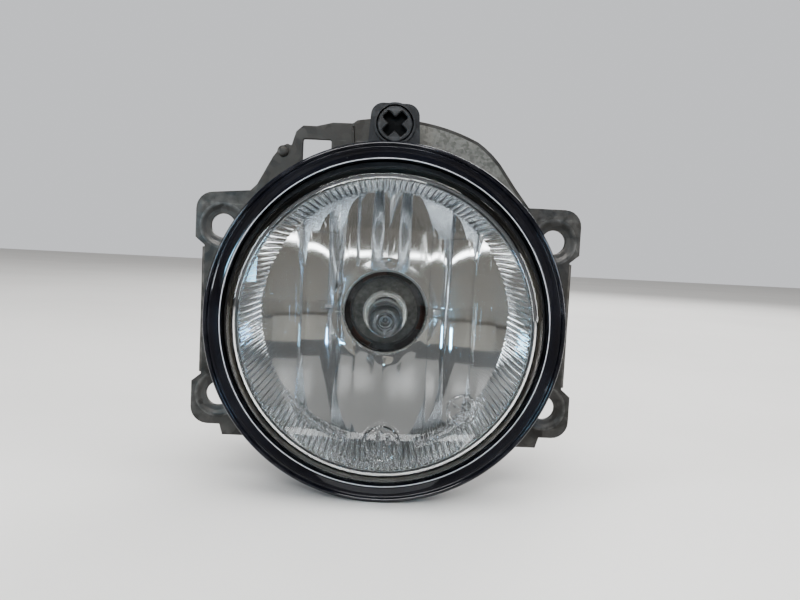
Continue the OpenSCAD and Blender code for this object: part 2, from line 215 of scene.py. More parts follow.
class Shape:
    """Collects closed parts of one piece in a single mesh, in millimetres."""

    def __init__(self) -> None:
        """Starts with an empty mesh and paints with the first finish."""
        self.mesh = bmesh.new()
        self.finish = 0

    def paint(self, index: int) -> "Shape":
        """What is added next takes the finish with this number.

        Args:
            index: the finish's number.

        Returns:
            This shape.
        """
        self.finish = index
        return self

    def face(self, corners: Sequence[bmesh.types.BMVert]) -> None:
        """Adds one face if its corners are all different.

        Args:
            corners: the face's corners.
        """
        distinct = list(dict.fromkeys(corners))
        if len(distinct) > 2:
            face = self.mesh.faces.new(distinct)
            face.material_index = self.finish
            face.smooth = True

    def lathe(self, profile: Sequence[Point], steps: int = 128, place: Matrix | None = None,
              warp: Warp | None = None) -> "Shape":
        """Turns a closed profile about the Y axis.

        Args:
            profile: closed outline of [radius, y] points; points on the axis have radius 0.
            steps: how many spans round the circle.
            place: where the turned part goes.
            warp: changes (radius, y) at an angle in radians, for flutes or marks.

        Returns:
            This shape.
        """
        at = place or Matrix()
        rings: list[list[bmesh.types.BMVert]] = []
        for radius, y in profile:
            if radius < 1e-4 and warp is None:
                rings.append([self.mesh.verts.new(at @ Vector((0, y, 0)))] * steps)
                continue
            ring = []
            for k in range(steps):
                angle = 2 * math.pi * k / steps
                r, depth = warp(radius, y, angle) if warp else (radius, y)
                point = Vector((r * math.cos(angle), depth, r * math.sin(angle)))
                ring.append(self.mesh.verts.new(at @ point))
            rings.append(ring)
        for i, ring in enumerate(rings):
            following = rings[(i + 1) % len(rings)]
            if ring[0] is ring[1] and following[0] is following[1]:
                continue
            for k in range(steps):
                m = (k + 1) % steps
                self.face([ring[k], following[k], following[m], ring[m]])
        return self

    def prism(self, outline: Sequence[Point], start: float, end: float,
              holes: Iterable[Sequence[Point]] = (), edge: float = 0.25,
              place: Matrix | None = None) -> "Shape":
        """A flat shape drawn in [x, z] and made thick along Y, with softened edges.

        Args:
            outline: closed outline.
            start: where the thickness starts along Y.
            end: where it ends.
            holes: closed outlines that are cut out.
            edge: radius of the softened edges.
            place: where the prism goes.

        Returns:
            This shape.
        """
        curve = bpy.data.curves.new("outline", "CURVE")
        curve.dimensions = "2D"
        curve.fill_mode = "BOTH"
        curve.bevel_depth = edge
        curve.bevel_resolution = 2
        curve.offset = -edge
        curve.extrude = (end - start) / 2 - edge
        for points in (outline, *holes):
            spline = curve.splines.new("POLY")
            spline.points.add(len(points) - 1)
            for target, (x, z) in zip(spline.points, points):
                target.co = (x, z, 0, 1)
            spline.use_cyclic_u = True
        holder = bpy.data.objects.new("outline", curve)
        bpy.context.scene.collection.objects.link(holder)
        bpy.context.view_layer.update()
        evaluated = holder.evaluated_get(bpy.context.evaluated_depsgraph_get())
        flat = bpy.data.meshes.new_from_object(evaluated)
        upright = Matrix.Translation((0, (start + end) / 2, 0)) @ Matrix.Rotation(math.pi / 2, 4, "X")
        flat.transform((place or Matrix()) @ upright)
        self._take(flat)
        bpy.data.objects.remove(holder)
        bpy.data.curves.remove(curve)
        return self

    def _take(self, mesh: bpy.types.Mesh) -> None:
        """Moves a mesh's faces into this shape and throws the mesh away.

        Args:
            mesh: the mesh, which is thrown away.
        """
        first = len(self.mesh.faces)
        self.mesh.from_mesh(mesh)
        self.mesh.faces.ensure_lookup_table()
        for face in self.mesh.faces[first:]:
            face.material_index = self.finish
            face.smooth = True
        bpy.data.meshes.remove(mesh)

    def wire(self, path: Iterable[Sequence[float]], radius: float, sides: int = 8) -> "Shape":
        """A round wire along a path, closed at both ends.

        Args:
            path: points along the wire.
            radius: the wire's radius.
            sides: how many sides its section has.

        Returns:
            This shape.
        """
        rings: list[list[bmesh.types.BMVert]] = []
        points = [Vector(point) for point in path]
        aside = Vector((0.0, 0.0, 1.0))
        for i, point in enumerate(points):
            along = (points[min(i + 1, len(points) - 1)] - points[max(i - 1, 0)]).normalized()
            aside = aside - along * aside.dot(along)
            if aside.length < 1e-3:
                aside = along.orthogonal()
            aside.normalize()
            across = along.cross(aside)
            rings.append([
                self.mesh.verts.new(point + radius * (math.cos(a) * aside + math.sin(a) * across))
                for a in (2 * math.pi * k / sides for k in range(sides))
            ])
        for ring, following in zip(rings, rings[1:]):
            for k in range(sides):
                m = (k + 1) % sides
                self.face([ring[k], ring[m], following[m], following[k]])
        self.face(list(reversed(rings[0])))
        self.face(rings[-1])
        return self

    def ship(self, name: str, nodes: Sequence[str], finishes: Sequence["Finish"],
             sharp: float = 38.0) -> bpy.types.Object:
        """Makes the Blender object, dresses it and lets it stand for its CAD nodes.

        Args:
            name: the piece's name.
            nodes: the CAD nodes that it stands for; it rides on the first one's body.
            finishes: its finishes, in the order of their numbers.
            sharp: faces that meet at more than this angle in degrees keep a crisp edge.

        Returns:
            The new object.
        """
        bmesh.ops.recalc_face_normals(self.mesh, faces=self.mesh.faces)
        for edge in self.mesh.edges:
            edge.smooth = edge.calc_face_angle(0.0) < math.radians(sharp)
        self.mesh.transform(Matrix.Scale(MM, 4))
        data = bpy.data.meshes.new(name)
        self.mesh.to_mesh(data)
        self.mesh.free()
        for finish in finishes:
            data.materials.append(finish.material())
        piece = bpy.data.objects.new(name, data)
        bpy.context.scene.collection.objects.link(piece)
        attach(piece, BODY_OF[nodes[0]])
        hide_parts(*nodes)
        LOG.info("%s stands for %s: %d faces", name, ", ".join(nodes), len(data.polygons))
        return piece


BODY_OF = {node: body for body, nodes in frame["record"]["behaviour"]["bodies"].items() for node in nodes}


# ---------------------------------------------------------------- shader building

class Effect(Enum):
    """The effects that more than one material uses, each one a node group."""

    WEAR = "edge_wear"
    GRAIN = "moulded_grain"
    DUST = "settled_dust"
    SCRATCH = "hair_scratches"


class Nodes:
    """A short way to add and join nodes in one node tree."""

    def __init__(self, tree: bpy.types.NodeTree) -> None:
        """Works on this node tree.

        Args:
            tree: the node tree.
        """
        self.tree = tree

    def add(self, kind: str, **values: object) -> bpy.types.Node:
        """Adds a node.

        Args:
            kind: the node's type name after ShaderNode.
            **values: properties, or values for inputs where the name is an input's with _ for spaces.

        Returns:
            The new node.
        """
        node = self.tree.nodes.new("ShaderNode" + kind)
        for key, value in values.items():
            socket = key.replace("_", " ").title()
            if hasattr(node, key):
                setattr(node, key, value)
            elif isinstance(value, bpy.types.NodeSocket):
                self.tree.links.new(value, node.inputs[socket])
            else:
                node.inputs[socket].default_value = value
        return node

    def join(self, source: bpy.types.NodeSocket, target: bpy.types.NodeSocket) -> None:
        """Links two sockets.

        Args:
            source: where the link starts.
            target: where it ends.
        """
        self.tree.links.new(source, target)

    def feed(self, shader: bpy.types.Node, **sources: bpy.types.NodeSocket) -> None:
        """Links sockets to a shader's inputs.

        Args:
            shader: the shader node.
            **sources: what goes into each input, by the input's name with _ for spaces.
        """
        for key, source in sources.items():
            self.join(source, shader.inputs[key.replace("_", " ").title()])

    def place(self) -> bpy.types.NodeSocket:
        """The object's own coordinates, which stay still when a body moves.

        Returns:
            The coordinates' socket.
        """
        return self.add("TexCoord").outputs["Object"]

    def noise(self, scale: float, detail: float = 4.0, vector: bpy.types.NodeSocket | None = None,
              roughness: float = 0.55) -> bpy.types.NodeSocket:
        """A noise value.

        Args:
            scale: the noise's scale, in waves per metre.
            detail: how many finer layers it has.
            vector: its coordinates, or None for the object's own.
            roughness: how strong the finer layers are.

        Returns:
            The value's socket.
        """
        node = self.add("TexNoise", Scale=scale, Detail=detail, Roughness=roughness)
        self.join(vector or self.place(), node.inputs["Vector"])
        return node.outputs["Fac"]

    def span(self, value: bpy.types.NodeSocket, from_low: float, from_high: float, to_low: float = 0.0,
             to_high: float = 1.0) -> bpy.types.NodeSocket:
        """Maps a value from one range to another and clamps it.

        Args:
            value: the value's socket.
            from_low: start of its range.
            from_high: end of its range.
            to_low: what the start becomes.
            to_high: what the end becomes.

        Returns:
            The mapped value's socket.
        """
        node = self.add("MapRange")
        self.join(value, node.inputs["Value"])
        limits = (("From Min", from_low), ("From Max", from_high), ("To Min", to_low), ("To Max", to_high))
        for key, number in limits:
            node.inputs[key].default_value = number
        return node.outputs["Result"]

    def maths(self, operation: str, first: bpy.types.NodeSocket | float,
              second: bpy.types.NodeSocket | float = 0.0) -> bpy.types.NodeSocket:
        """One sum on two values.

        Args:
            operation: the sum's name, such as MULTIPLY.
            first: first value or socket.
            second: second value or socket.

        Returns:
            The result's socket.
        """
        node = self.add("Math", operation=operation)
        for socket, value in zip(node.inputs, (first, second)):
            if isinstance(value, bpy.types.NodeSocket):
                self.join(value, socket)
            else:
                socket.default_value = value
        return node.outputs[0]

    def mix(self, factor: bpy.types.NodeSocket, first: Colour | bpy.types.NodeSocket,
            second: Colour | bpy.types.NodeSocket) -> bpy.types.NodeSocket:
        """Mixes two colours.

        Args:
            factor: 0 for the first colour and 1 for the second.
            first: first colour.
            second: second colour.

        Returns:
            The colour's socket.
        """
        node = self.add("Mix", data_type="RGBA")
        self.join(factor, node.inputs[0])
        for socket, value in ((node.inputs[6], first), (node.inputs[7], second)):
            if isinstance(value, bpy.types.NodeSocket):
                self.join(value, socket)
            else:
                socket.default_value = (*value, 1.0)
        return node.outputs[2]

    def effect(self, effect: Effect, **values: float) -> bpy.types.NodeSocket:
        """Places one of the shared effects and returns its mask or height.

        Args:
            effect: which effect.
            **values: values for the group's inputs.

        Returns:
            The mask's or height's socket.
        """
        node = self.add("Group")
        node.node_tree = effect_group(effect)
        for key, value in values.items():
            node.inputs[key.title()].default_value = value
        return node.outputs[0]

    def bump(self, height: bpy.types.NodeSocket, distance: float) -> bpy.types.NodeSocket:
        """A normal from a height.

        Args:
            height: the height's socket, about 0 to 1.
            distance: what a height of 1 stands for, in metres.

        Returns:
            The normal's socket.
        """
        node = self.add("Bump")
        node.inputs["Strength"].default_value = 1.0
        node.inputs["Distance"].default_value = distance
        self.join(height, node.inputs["Height"])
        return node.outputs["Normal"]


def effect_group(effect: Effect) -> bpy.types.NodeTree:
    """The node group of a shared effect, built the first time it is asked for.

    Args:
        effect: which effect.

    Returns:
        Its node group, with inputs Scale and Amount and one output.
    """
    if effect.value in bpy.data.node_groups:
        return bpy.data.node_groups[effect.value]
    tree = bpy.data.node_groups.new(effect.value, "ShaderNodeTree")
    tree.interface.new_socket("Scale", in_out="INPUT", socket_type="NodeSocketFloat").default_value = 100.0
    tree.interface.new_socket("Amount", in_out="INPUT", socket_type="NodeSocketFloat").default_value = 1.0
    label = "Height" if effect is Effect.GRAIN else "Mask"
    tree.interface.new_socket(label, in_out="OUTPUT", socket_type="NodeSocketFloat")
    nodes = Nodes(tree)
    given = tree.nodes.new("NodeGroupInput")
    result = tree.nodes.new("NodeGroupOutput")
    scale, amount = given.outputs["Scale"], given.outputs["Amount"]
    place = nodes.place()

    def noise(times: float, detail: float, vector: bpy.types.NodeSocket = place) -> bpy.types.NodeSocket:
        """Noise at a multiple of the group's own scale.

        Args:
            times: how many times the group's scale.
            detail: how many finer layers.
            vector: its coordinates.

        Returns:
            The value's socket.
        """
        node = nodes.add("TexNoise", Detail=detail)
        nodes.join(vector, node.inputs["Vector"])
        nodes.join(nodes.maths("MULTIPLY", scale, times), node.inputs["Scale"])
        return node.outputs["Fac"]

    if effect is Effect.WEAR:
        edge = nodes.span(nodes.add("NewGeometry").outputs["Pointiness"], 0.505, 0.56)
        value = nodes.maths("MULTIPLY", edge, nodes.span(noise(1.0, 5.0), 0.42, 0.62))
    elif effect is Effect.GRAIN:
        cells = nodes.add("TexVoronoi")
        nodes.join(place, cells.inputs["Vector"])
        nodes.join(scale, cells.inputs["Scale"])
        value = nodes.maths("ADD", nodes.maths("MULTIPLY", cells.outputs["Distance"], 0.6), noise(0.6, 6.0))
    elif effect is Effect.DUST:
        specks = nodes.add("TexVoronoi")
        nodes.join(place, specks.inputs["Vector"])
        nodes.join(scale, specks.inputs["Scale"])
        points = nodes.span(specks.outputs["Distance"], 0.22, 0.08)
        sparse = nodes.span(noise(0.15, 3.0), 0.50, 0.62)
        value = nodes.maths("MAXIMUM", nodes.maths("MULTIPLY", points, sparse),
                            nodes.maths("MULTIPLY", nodes.span(noise(0.08, 6.0), 0.45, 0.8), 0.35))
    else:
        stretch = nodes.add("Mapping")
        nodes.join(place, stretch.inputs["Vector"])
        stretch.inputs["Rotation"].default_value = (0.3, 0.7, 0.5)
        stretch.inputs["Scale"].default_value = (1.0, 1.0, 24.0)
        value = nodes.span(noise(1.0, 3.0, stretch.outputs["Vector"]), 0.60, 0.68)
    nodes.join(nodes.maths("MULTIPLY", value, amount), result.inputs[label])
    return tree


# ---------------------------------------------------------------- finishes

MADE: dict[str, bpy.types.Material] = {}


@dataclass(frozen=True)
class Finish:
    """A finish: a plain surface that its own kinds build on."""

    name: str
    colour: Colour

    def material(self) -> bpy.types.Material:
        """The finish's material, built once.

        Returns:
            The material.
        """
        if self.name in MADE:
            return MADE[self.name]
        material = MADE[self.name] = bpy.data.materials.new(self.name)
        material.use_nodes = True
        nodes = Nodes(material.node_tree)
        shader = material.node_tree.nodes["Principled BSDF"]
        shader.inputs["Base Color"].default_value = (*self.colour, 1.0)
        self.dress(nodes, shader)
        return material

    def dress(self, nodes: Nodes, shader: bpy.types.Node) -> None:
        """Adds the finish's own detail to the shader.

        Args:
            nodes: the finish's node tree.
            shader: the finish's shader node.
        """
        raise NotImplementedError


@dataclass(frozen=True)
class Moulding(Finish):
    """Moulded plastic or rubber: fine grain, rubbed edges and a little dust."""

    roughness: float = 0.5
    grain: float = 2600.0
    depth: float = 0.00004
    rub: Colour = (0.12, 0.12, 0.125)
    dust: float = 0.25

    def dress(self, nodes: Nodes, shader: bpy.types.Node) -> None:
        """Adds grain, rubbed edges and dust.

        Args:
            nodes: the finish's node tree.
            shader: the finish's shader node.
        """
        wear = nodes.effect(Effect.WEAR, scale=420.0, amount=0.6)
        dust = nodes.effect(Effect.DUST, scale=900.0, amount=self.dust)
        shade = nodes.span(nodes.noise(90.0), 0.3, 0.7)
        darker = tuple(c * 0.8 for c in self.colour)
        body = nodes.mix(shade, darker, self.colour)
        rubbed = nodes.mix(wear, body, self.rub)
        nodes.feed(shader, base_color=nodes.mix(dust, rubbed, (0.34, 0.33, 0.31)))
        soft = nodes.span(nodes.noise(300.0), 0.3, 0.7, self.roughness - 0.07, self.roughness + 0.07)
        nodes.feed(shader, roughness=nodes.maths("ADD", soft, nodes.maths("MULTIPLY", dust, 0.3)))
        height = nodes.effect(Effect.GRAIN, scale=self.grain, amount=1.0)
        nodes.feed(shader, normal=nodes.bump(height, self.depth))


@dataclass(frozen=True)
class GlossBlack(Finish):
    """Polished black moulding with hair scratches, dust and a faint ripple."""

    def dress(self, nodes: Nodes, shader: bpy.types.Node) -> None:
        """Adds scratches, dust and ripple.

        Args:
            nodes: the finish's node tree.
            shader: the finish's shader node.
        """
        scratch = nodes.effect(Effect.SCRATCH, scale=120.0, amount=0.2)
        dust = nodes.effect(Effect.DUST, scale=700.0, amount=0.10)
        wear = nodes.effect(Effect.WEAR, scale=300.0, amount=0.35)
        shade = nodes.mix(nodes.span(nodes.noise(60.0), 0.3, 0.7), (0.004, 0.004, 0.006), self.colour)
        rubbed = nodes.mix(wear, shade, (0.10, 0.10, 0.11))
        nodes.feed(shader, base_color=nodes.mix(dust, rubbed, (0.30, 0.29, 0.28)))
        rough = nodes.maths("ADD", nodes.maths("MULTIPLY", scratch, 0.22), nodes.maths("MULTIPLY", dust, 0.4))
        nodes.feed(shader, roughness=nodes.maths("ADD", rough, 0.06))
        nodes.feed(shader, normal=nodes.bump(nodes.noise(140.0, 2.0), 0.00003))
        shader.inputs["Coat Weight"].default_value = 0.3
        shader.inputs["Coat Roughness"].default_value = 0.04


@dataclass(frozen=True)
class Sheet(Finish):
    """Galvanised or plated steel: crystal spangle, dull patches, stains and bright worn edges."""

    roughness: float = 0.42
    spangle: float = 420.0
    stain: Colour = (0.15, 0.135, 0.115)
    stained: float = 0.5
    metallic: float = 0.55

    def dress(self, nodes: Nodes, shader: bpy.types.Node) -> None:
        """Adds the spangle, stains and worn edges.

        Args:
            nodes: the finish's node tree.
            shader: the finish's shader node.
        """
        cells = nodes.add("TexVoronoi")
        nodes.join(nodes.place(), cells.inputs["Vector"])
        cells.inputs["Scale"].default_value = self.spangle
        grey = nodes.add("RGBToBW")
        nodes.join(cells.outputs["Color"], grey.inputs[0])
        crystal = nodes.span(grey.outputs[0], 0.2, 0.8)
        light = tuple(min(c * 1.25, 1.0) for c in self.colour)
        dark = tuple(c * 0.78 for c in self.colour)
        base = nodes.mix(crystal, dark, light)
        stains = nodes.span(nodes.noise(55.0, 6.0), 0.60 - 0.2 * self.stained, 0.78, 0.0, 0.9)
        stained = nodes.mix(stains, base, self.stain)
        wear = nodes.effect(Effect.WEAR, scale=350.0, amount=0.12)
        nodes.feed(shader, base_color=nodes.mix(wear, stained, (0.62, 0.60, 0.56)))
        rough = nodes.span(crystal, 0.0, 1.0, self.roughness - 0.08, self.roughness + 0.12)
        nodes.feed(shader, roughness=nodes.maths("ADD", rough, nodes.maths("MULTIPLY", stains, 0.2)))
        nodes.feed(shader, metallic=nodes.span(stains, 0.0, 1.0, self.metallic, self.metallic - 0.1))
        height = nodes.maths("ADD", nodes.noise(900.0, 5.0), nodes.maths("MULTIPLY", crystal, 0.25))
        nodes.feed(shader, normal=nodes.bump(height, 0.00005))


@dataclass(frozen=True)
class Mirror(Finish):
    """Aluminised mirror with a faint haze, dust specks and hair-fine ripple."""

    roughness: float = 0.05
    dust: float = 0.35
    ripple: float = 0.00001

    def dress(self, nodes: Nodes, shader: bpy.types.Node) -> None:
        """Adds haze, specks and ripple.

        Args:
            nodes: the finish's node tree.
            shader: the finish's shader node.
        """
        dust = nodes.effect(Effect.DUST, scale=650.0, amount=self.dust)
        haze = nodes.span(nodes.noise(70.0, 5.0), 0.35, 0.75)
        shade = nodes.mix(haze, self.colour, tuple(c * 0.86 for c in self.colour))
        nodes.feed(shader, base_color=nodes.mix(dust, shade, (0.42, 0.41, 0.40)))
        rough = nodes.span(haze, 0.0, 1.0, self.roughness, self.roughness + 0.05)
        nodes.feed(shader, roughness=nodes.maths("ADD", rough, nodes.maths("MULTIPLY", dust, 0.4)))
        nodes.feed(shader, metallic=nodes.span(dust, 0.0, 1.0, 1.0, 0.5))
        nodes.feed(shader, normal=nodes.bump(nodes.noise(160.0, 3.0), self.ripple))


@dataclass(frozen=True)
class GroovedMirror(Mirror):
    """Aluminised flutes whose grooves are dull and darkened with painted shade."""

    crest: float = 42.15
    groove: float = 42.75
    groove_shade: Colour = (0.10, 0.10, 0.10)

    def dress(self, nodes: Nodes, shader: bpy.types.Node) -> None:
        """Adds the mirror's own detail, then dulls the grooves and darkens them with painted shade.

        Args:
            nodes: the finish's node tree.
            shader: the finish's shader node.
        """
        super().dress(nodes, shader)
        flat = nodes.add("VectorMath", operation="MULTIPLY")
        nodes.join(nodes.place(), flat.inputs[0])
        flat.inputs[1].default_value = (1.0, 0.0, 1.0)
        away = nodes.add("VectorMath", operation="LENGTH")
        nodes.join(flat.outputs["Vector"], away.inputs[0])
        # Painted shade: from crest to groove the colour goes to near black, standing in for the shade between
        # the flutes.
        deep = nodes.span(away.outputs["Value"], self.crest * MM, self.groove * MM)
        for name, target in (("Base Color", self.groove_shade), ("Roughness", 0.45)):
            socket = shader.inputs[name]
            before = socket.links[0].from_socket
            if name == "Base Color":
                nodes.join(nodes.mix(deep, before, target), socket)
            else:
                nodes.join(nodes.maths("ADD", before, nodes.maths("MULTIPLY", deep, target)), socket)


@dataclass(frozen=True)
class Glass(Finish):
    """Clear pressed glass with dust and faint pressing waves."""

    dust: float = 0.12
    wave: float = 0.00001
    haze: float = 0.0
    ior: float = 1.5

    def dress(self, nodes: Nodes, shader: bpy.types.Node) -> None:
        """Adds dust and waves; Metallic and Transmission Weight stay plain.

        Args:
            nodes: the finish's node tree.
            shader: the finish's shader node.
        """
        shader.inputs["Metallic"].default_value = 0.0
        shader.inputs["Transmission Weight"].default_value = 1.0
        clear = nodes.add("BsdfTransparent")
        clear.inputs["Color"].default_value = (0.9, 0.9, 0.9, 1.0)
        either = nodes.add("MixShader")
        nodes.join(nodes.add("LightPath").outputs["Is Shadow Ray"], either.inputs[0])
        nodes.join(shader.outputs[0], either.inputs[1])
        nodes.join(clear.outputs[0], either.inputs[2])
        nodes.join(either.outputs[0], nodes.tree.nodes["Material Output"].inputs["Surface"])
        shader.inputs["IOR"].default_value = self.ior
        dust = nodes.span(nodes.effect(Effect.DUST, scale=800.0, amount=1.0), 0.4, 1.0, 0.0, self.dust)
        nodes.feed(shader, base_color=nodes.mix(dust, self.colour, (0.82, 0.81, 0.78)))
        nodes.feed(shader, roughness=nodes.span(dust, 0.0, 1.0, self.haze, self.haze + 0.5))
        nodes.feed(shader, normal=nodes.bump(nodes.noise(45.0, 2.0), self.wave))


@dataclass(frozen=True)
class Metal(Finish):
    """Plain bare metal with turning marks, stains and worn edges."""

    roughness: float = 0.25
    grain: float = 2400.0
    metallic: float = 1.0
    worn: float = 0.6

    def dress(self, nodes: Nodes, shader: bpy.types.Node) -> None:
        """Adds turning marks and stains.

        Args:
            nodes: the finish's node tree.
            shader: the finish's shader node.
        """
        shader.inputs["Metallic"].default_value = self.metallic
        stain = nodes.span(nodes.noise(260.0, 5.0), 0.45, 0.75)
        base = nodes.mix(stain, self.colour, tuple(c * 0.62 for c in self.colour))
        wear = nodes.effect(Effect.WEAR, scale=600.0, amount=self.worn)
        nodes.feed(shader, base_color=nodes.mix(wear, base, (0.85, 0.83, 0.80)))
        marks = nodes.add("Mapping")
        nodes.join(nodes.place(), marks.inputs["Vector"])
        marks.inputs["Scale"].default_value = (0.12, 1.0, 0.12)
        fine = nodes.noise(self.grain, 3.0, marks.outputs["Vector"])
        rough = nodes.span(fine, 0.3, 0.7, self.roughness - 0.06, self.roughness + 0.12)
        nodes.feed(shader, roughness=rough)
        nodes.feed(shader, normal=nodes.bump(fine, 0.000008))


BRACKET_STEEL = Sheet("galvanised_bracket", (0.058, 0.055, 0.051), stain=(0.042, 0.038, 0.032), stained=0.8)
CROWN_STEEL = Sheet("spangled_crown", (0.145, 0.143, 0.13), spangle=1300.0, stain=(0.10, 0.095, 0.083),
                    stained=0.25)
SEAT_STEEL = Sheet("pressed_seat", (0.072, 0.07, 0.067), stain=(0.052, 0.048, 0.041), stained=0.5)
PIN_STEEL = Metal("plated_pin", (0.52, 0.51, 0.49), roughness=0.34)
SCREW_STEEL = Metal("plated_screw", (0.56, 0.54, 0.47), roughness=0.3)
NUT_NYLON = Moulding("natural_nylon", (0.66, 0.64, 0.56), roughness=0.42, rub=(0.75, 0.73, 0.66), dust=0.15)
HOUSING_BLACK = Moulding("housing_moulding", (0.009, 0.009, 0.0105), roughness=0.55,
                         rub=(0.035, 0.035, 0.037), dust=0.12)
RING_BLACK = GlossBlack("gloss_ring", (0.004, 0.005, 0.010))
# Painted highlight: pale grey for the thin line at the ring's inner lip, standing in for the lip's glint.
RING_LIP_HIGHLIGHT = Moulding("painted_highlight_lip_line", (0.42, 0.43, 0.45), roughness=0.3, rub=(0.5, 0.5, 0.52), dust=0.1)
LENS_GLASS = Glass("pressed_lens_glass", (0.97, 0.985, 0.985))
# Beige for the real sealant bead, and also painted light on the thin film that stands in for the light
# through the glass's shoulder.
SEALANT_AND_PAINTED_LIGHT = Moulding("glass_sealant_and_painted_light", (0.17, 0.155, 0.125), roughness=0.55, rub=(0.24, 0.22, 0.18), dust=0.2)
FLUTE_MIRROR = GroovedMirror("fluted_wall_mirror", (0.94, 0.95, 0.96), roughness=0.13, dust=0.12)
DUSTY_SLEEVE = Mirror("dusty_sleeve", (0.40, 0.40, 0.39), roughness=0.25, dust=0.9, ripple=0.0002)
STRIP_MIRROR = Mirror("strip_mirror", (0.84, 0.85, 0.86), roughness=0.04, dust=0.18, ripple=0.000003)
VENT_RUBBER = Moulding("breather_rubber", (0.03, 0.03, 0.03), roughness=0.68, grain=1800.0)
FILTER_FELT = Moulding("breather_felt", (0.72, 0.71, 0.66), roughness=0.9, grain=5200.0, depth=0.0002)
BUSH_ACETAL = Moulding("bush_acetal", (0.60, 0.57, 0.48), roughness=0.38, rub=(0.7, 0.68, 0.6), dust=0.1)
SCREW_BLACK = Moulding("aiming_screw_nylon", (0.013, 0.013, 0.014), roughness=0.42, grain=3000.0, dust=0.1)
# Painted shade: near black for the floor of the screw's cross recess, standing in for the shade in the
# recess.
RECESS_SHADE = Moulding("screw_recess_painted_shade", (0.002, 0.002, 0.002), roughness=0.85, rub=(0.004, 0.004, 0.004),
                        dust=0.0)
CLIP_STEEL = Metal("spring_clip", (0.36, 0.37, 0.40), roughness=0.3)
QUARTZ = Glass("clear_quartz", (0.86, 0.88, 0.90), dust=0.25, haze=0.16, wave=0.000004, ior=1.46)
TUNGSTEN = Metal("filament_tungsten", (0.33, 0.34, 0.36), roughness=0.35)
LEAD_WIRE = Metal("molybdenum_wire", (0.55, 0.54, 0.52), roughness=0.3)
COLLAR_STEEL = Metal("bright_collar_steel", (0.88, 0.86, 0.80), roughness=0.16, metallic=0.9, worn=0.2)
PLATE_STEEL = Metal("pressed_plate_steel", (0.10, 0.098, 0.092), roughness=0.36, metallic=0.8, worn=0.06)
BASE_BLACK = Moulding("bulb_base_moulding", (0.028, 0.028, 0.031), roughness=0.5, grain=2000.0)
ORING_RED = Moulding("hub_seal_silicone", (0.10, 0.035, 0.028), roughness=0.45, rub=(0.16, 0.06, 0.045))
TERMINAL_BRASS = Metal("tinned_terminal_brass", (0.78, 0.66, 0.38), roughness=0.22)


# ---------------------------------------------------------------- front ring, glass and seal

@dataclass
class FrontRing:
    """The gloss black ring with a rolled inner lip and a beaded outer edge."""

    radius: float = frame_high("bezel_ring", 0)
    front: float = frame_low("bezel_ring", 1)
    back: float = frame_high("bezel_ring", 1)
    width: float = 5.5
    lip: float = 0.45
    bead: float = 0.75
    wall: float = 2.0

    def profile(self) -> list[Point]:
        """The ring's section, from the back of its bore round the front to the back of its skirt.

        Returns:
            The closed section of [radius, y] points.
        """
        bore = self.radius - self.width
        face = self.front + 0.55
        return [
            (bore, self.back - 0.8),
            *arc((bore + self.lip, self.front + self.lip + 0.12), self.lip, 180, 315, 8),
            (bore + 1.0, face - 0.05),
            (bore + 2.4, face + 0.1),
            (self.radius - 2.5, face + 0.05),
            (self.radius - 2.1, face - 0.08),
            *arc((self.radius - 1.75, face + 0.14), 0.2, 225, 330, 4),
            (self.radius - 1.42, face + 0.2),
            *arc((self.radius - self.bead, face + 0.45), self.bead, 215, 360, 10),
            (self.radius, self.back - 0.5),
            *arc((self.radius - 0.4, self.back - 0.4), 0.4, 0, 90, 3),
            (self.radius - self.wall, self.back),
            (self.radius - self.wall, self.front + 3),
            (bore + 1.2, self.front + 3),
            (bore + 1.2, self.back - 0.8),
        ]

    def build(self) -> None:
        """Makes the ring, with a painted highlight line at its inner lip."""
        shape = Shape().lathe(self.profile(), 288).paint(1)
        bore = self.radius - self.width
        # A thin pale torus just inside the rolled lip: a painted highlight line.
        shape.lathe(circle((bore + 0.42, self.front + 0.24), 0.19, 12), 288)
        shape.ship("bezel_ring_skin", ["bezel_ring"], [RING_BLACK, RING_LIP_HIGHLIGHT])


@dataclass
class GlassMark:
    """A plain raised ring with a few pips inside, pressed into the glass."""

    x: float
    z: float
    radius: float
    pips: int

    def height(self, x: float, z: float) -> float:
        """How far the mark stands out at a place on the glass, from 0 to 1.

        Args:
            x: place across the lamp.
            z: place above its axis.

        Returns:
            The height, from 0 to 1.
        """
        distance = math.hypot(x - self.x, z - self.z)
        tall = math.exp(-((distance - self.radius) / 0.22) ** 2)
        for k in range(self.pips):
            angle = 2 * math.pi * k / self.pips + 0.5
            px = self.x + 0.45 * self.radius * math.cos(angle)
            pz = self.z + 0.45 * self.radius * math.sin(angle)
            tall += math.exp(-((x - px) ** 2 + (z - pz) ** 2) / 0.2)
        return min(tall, 1.0)


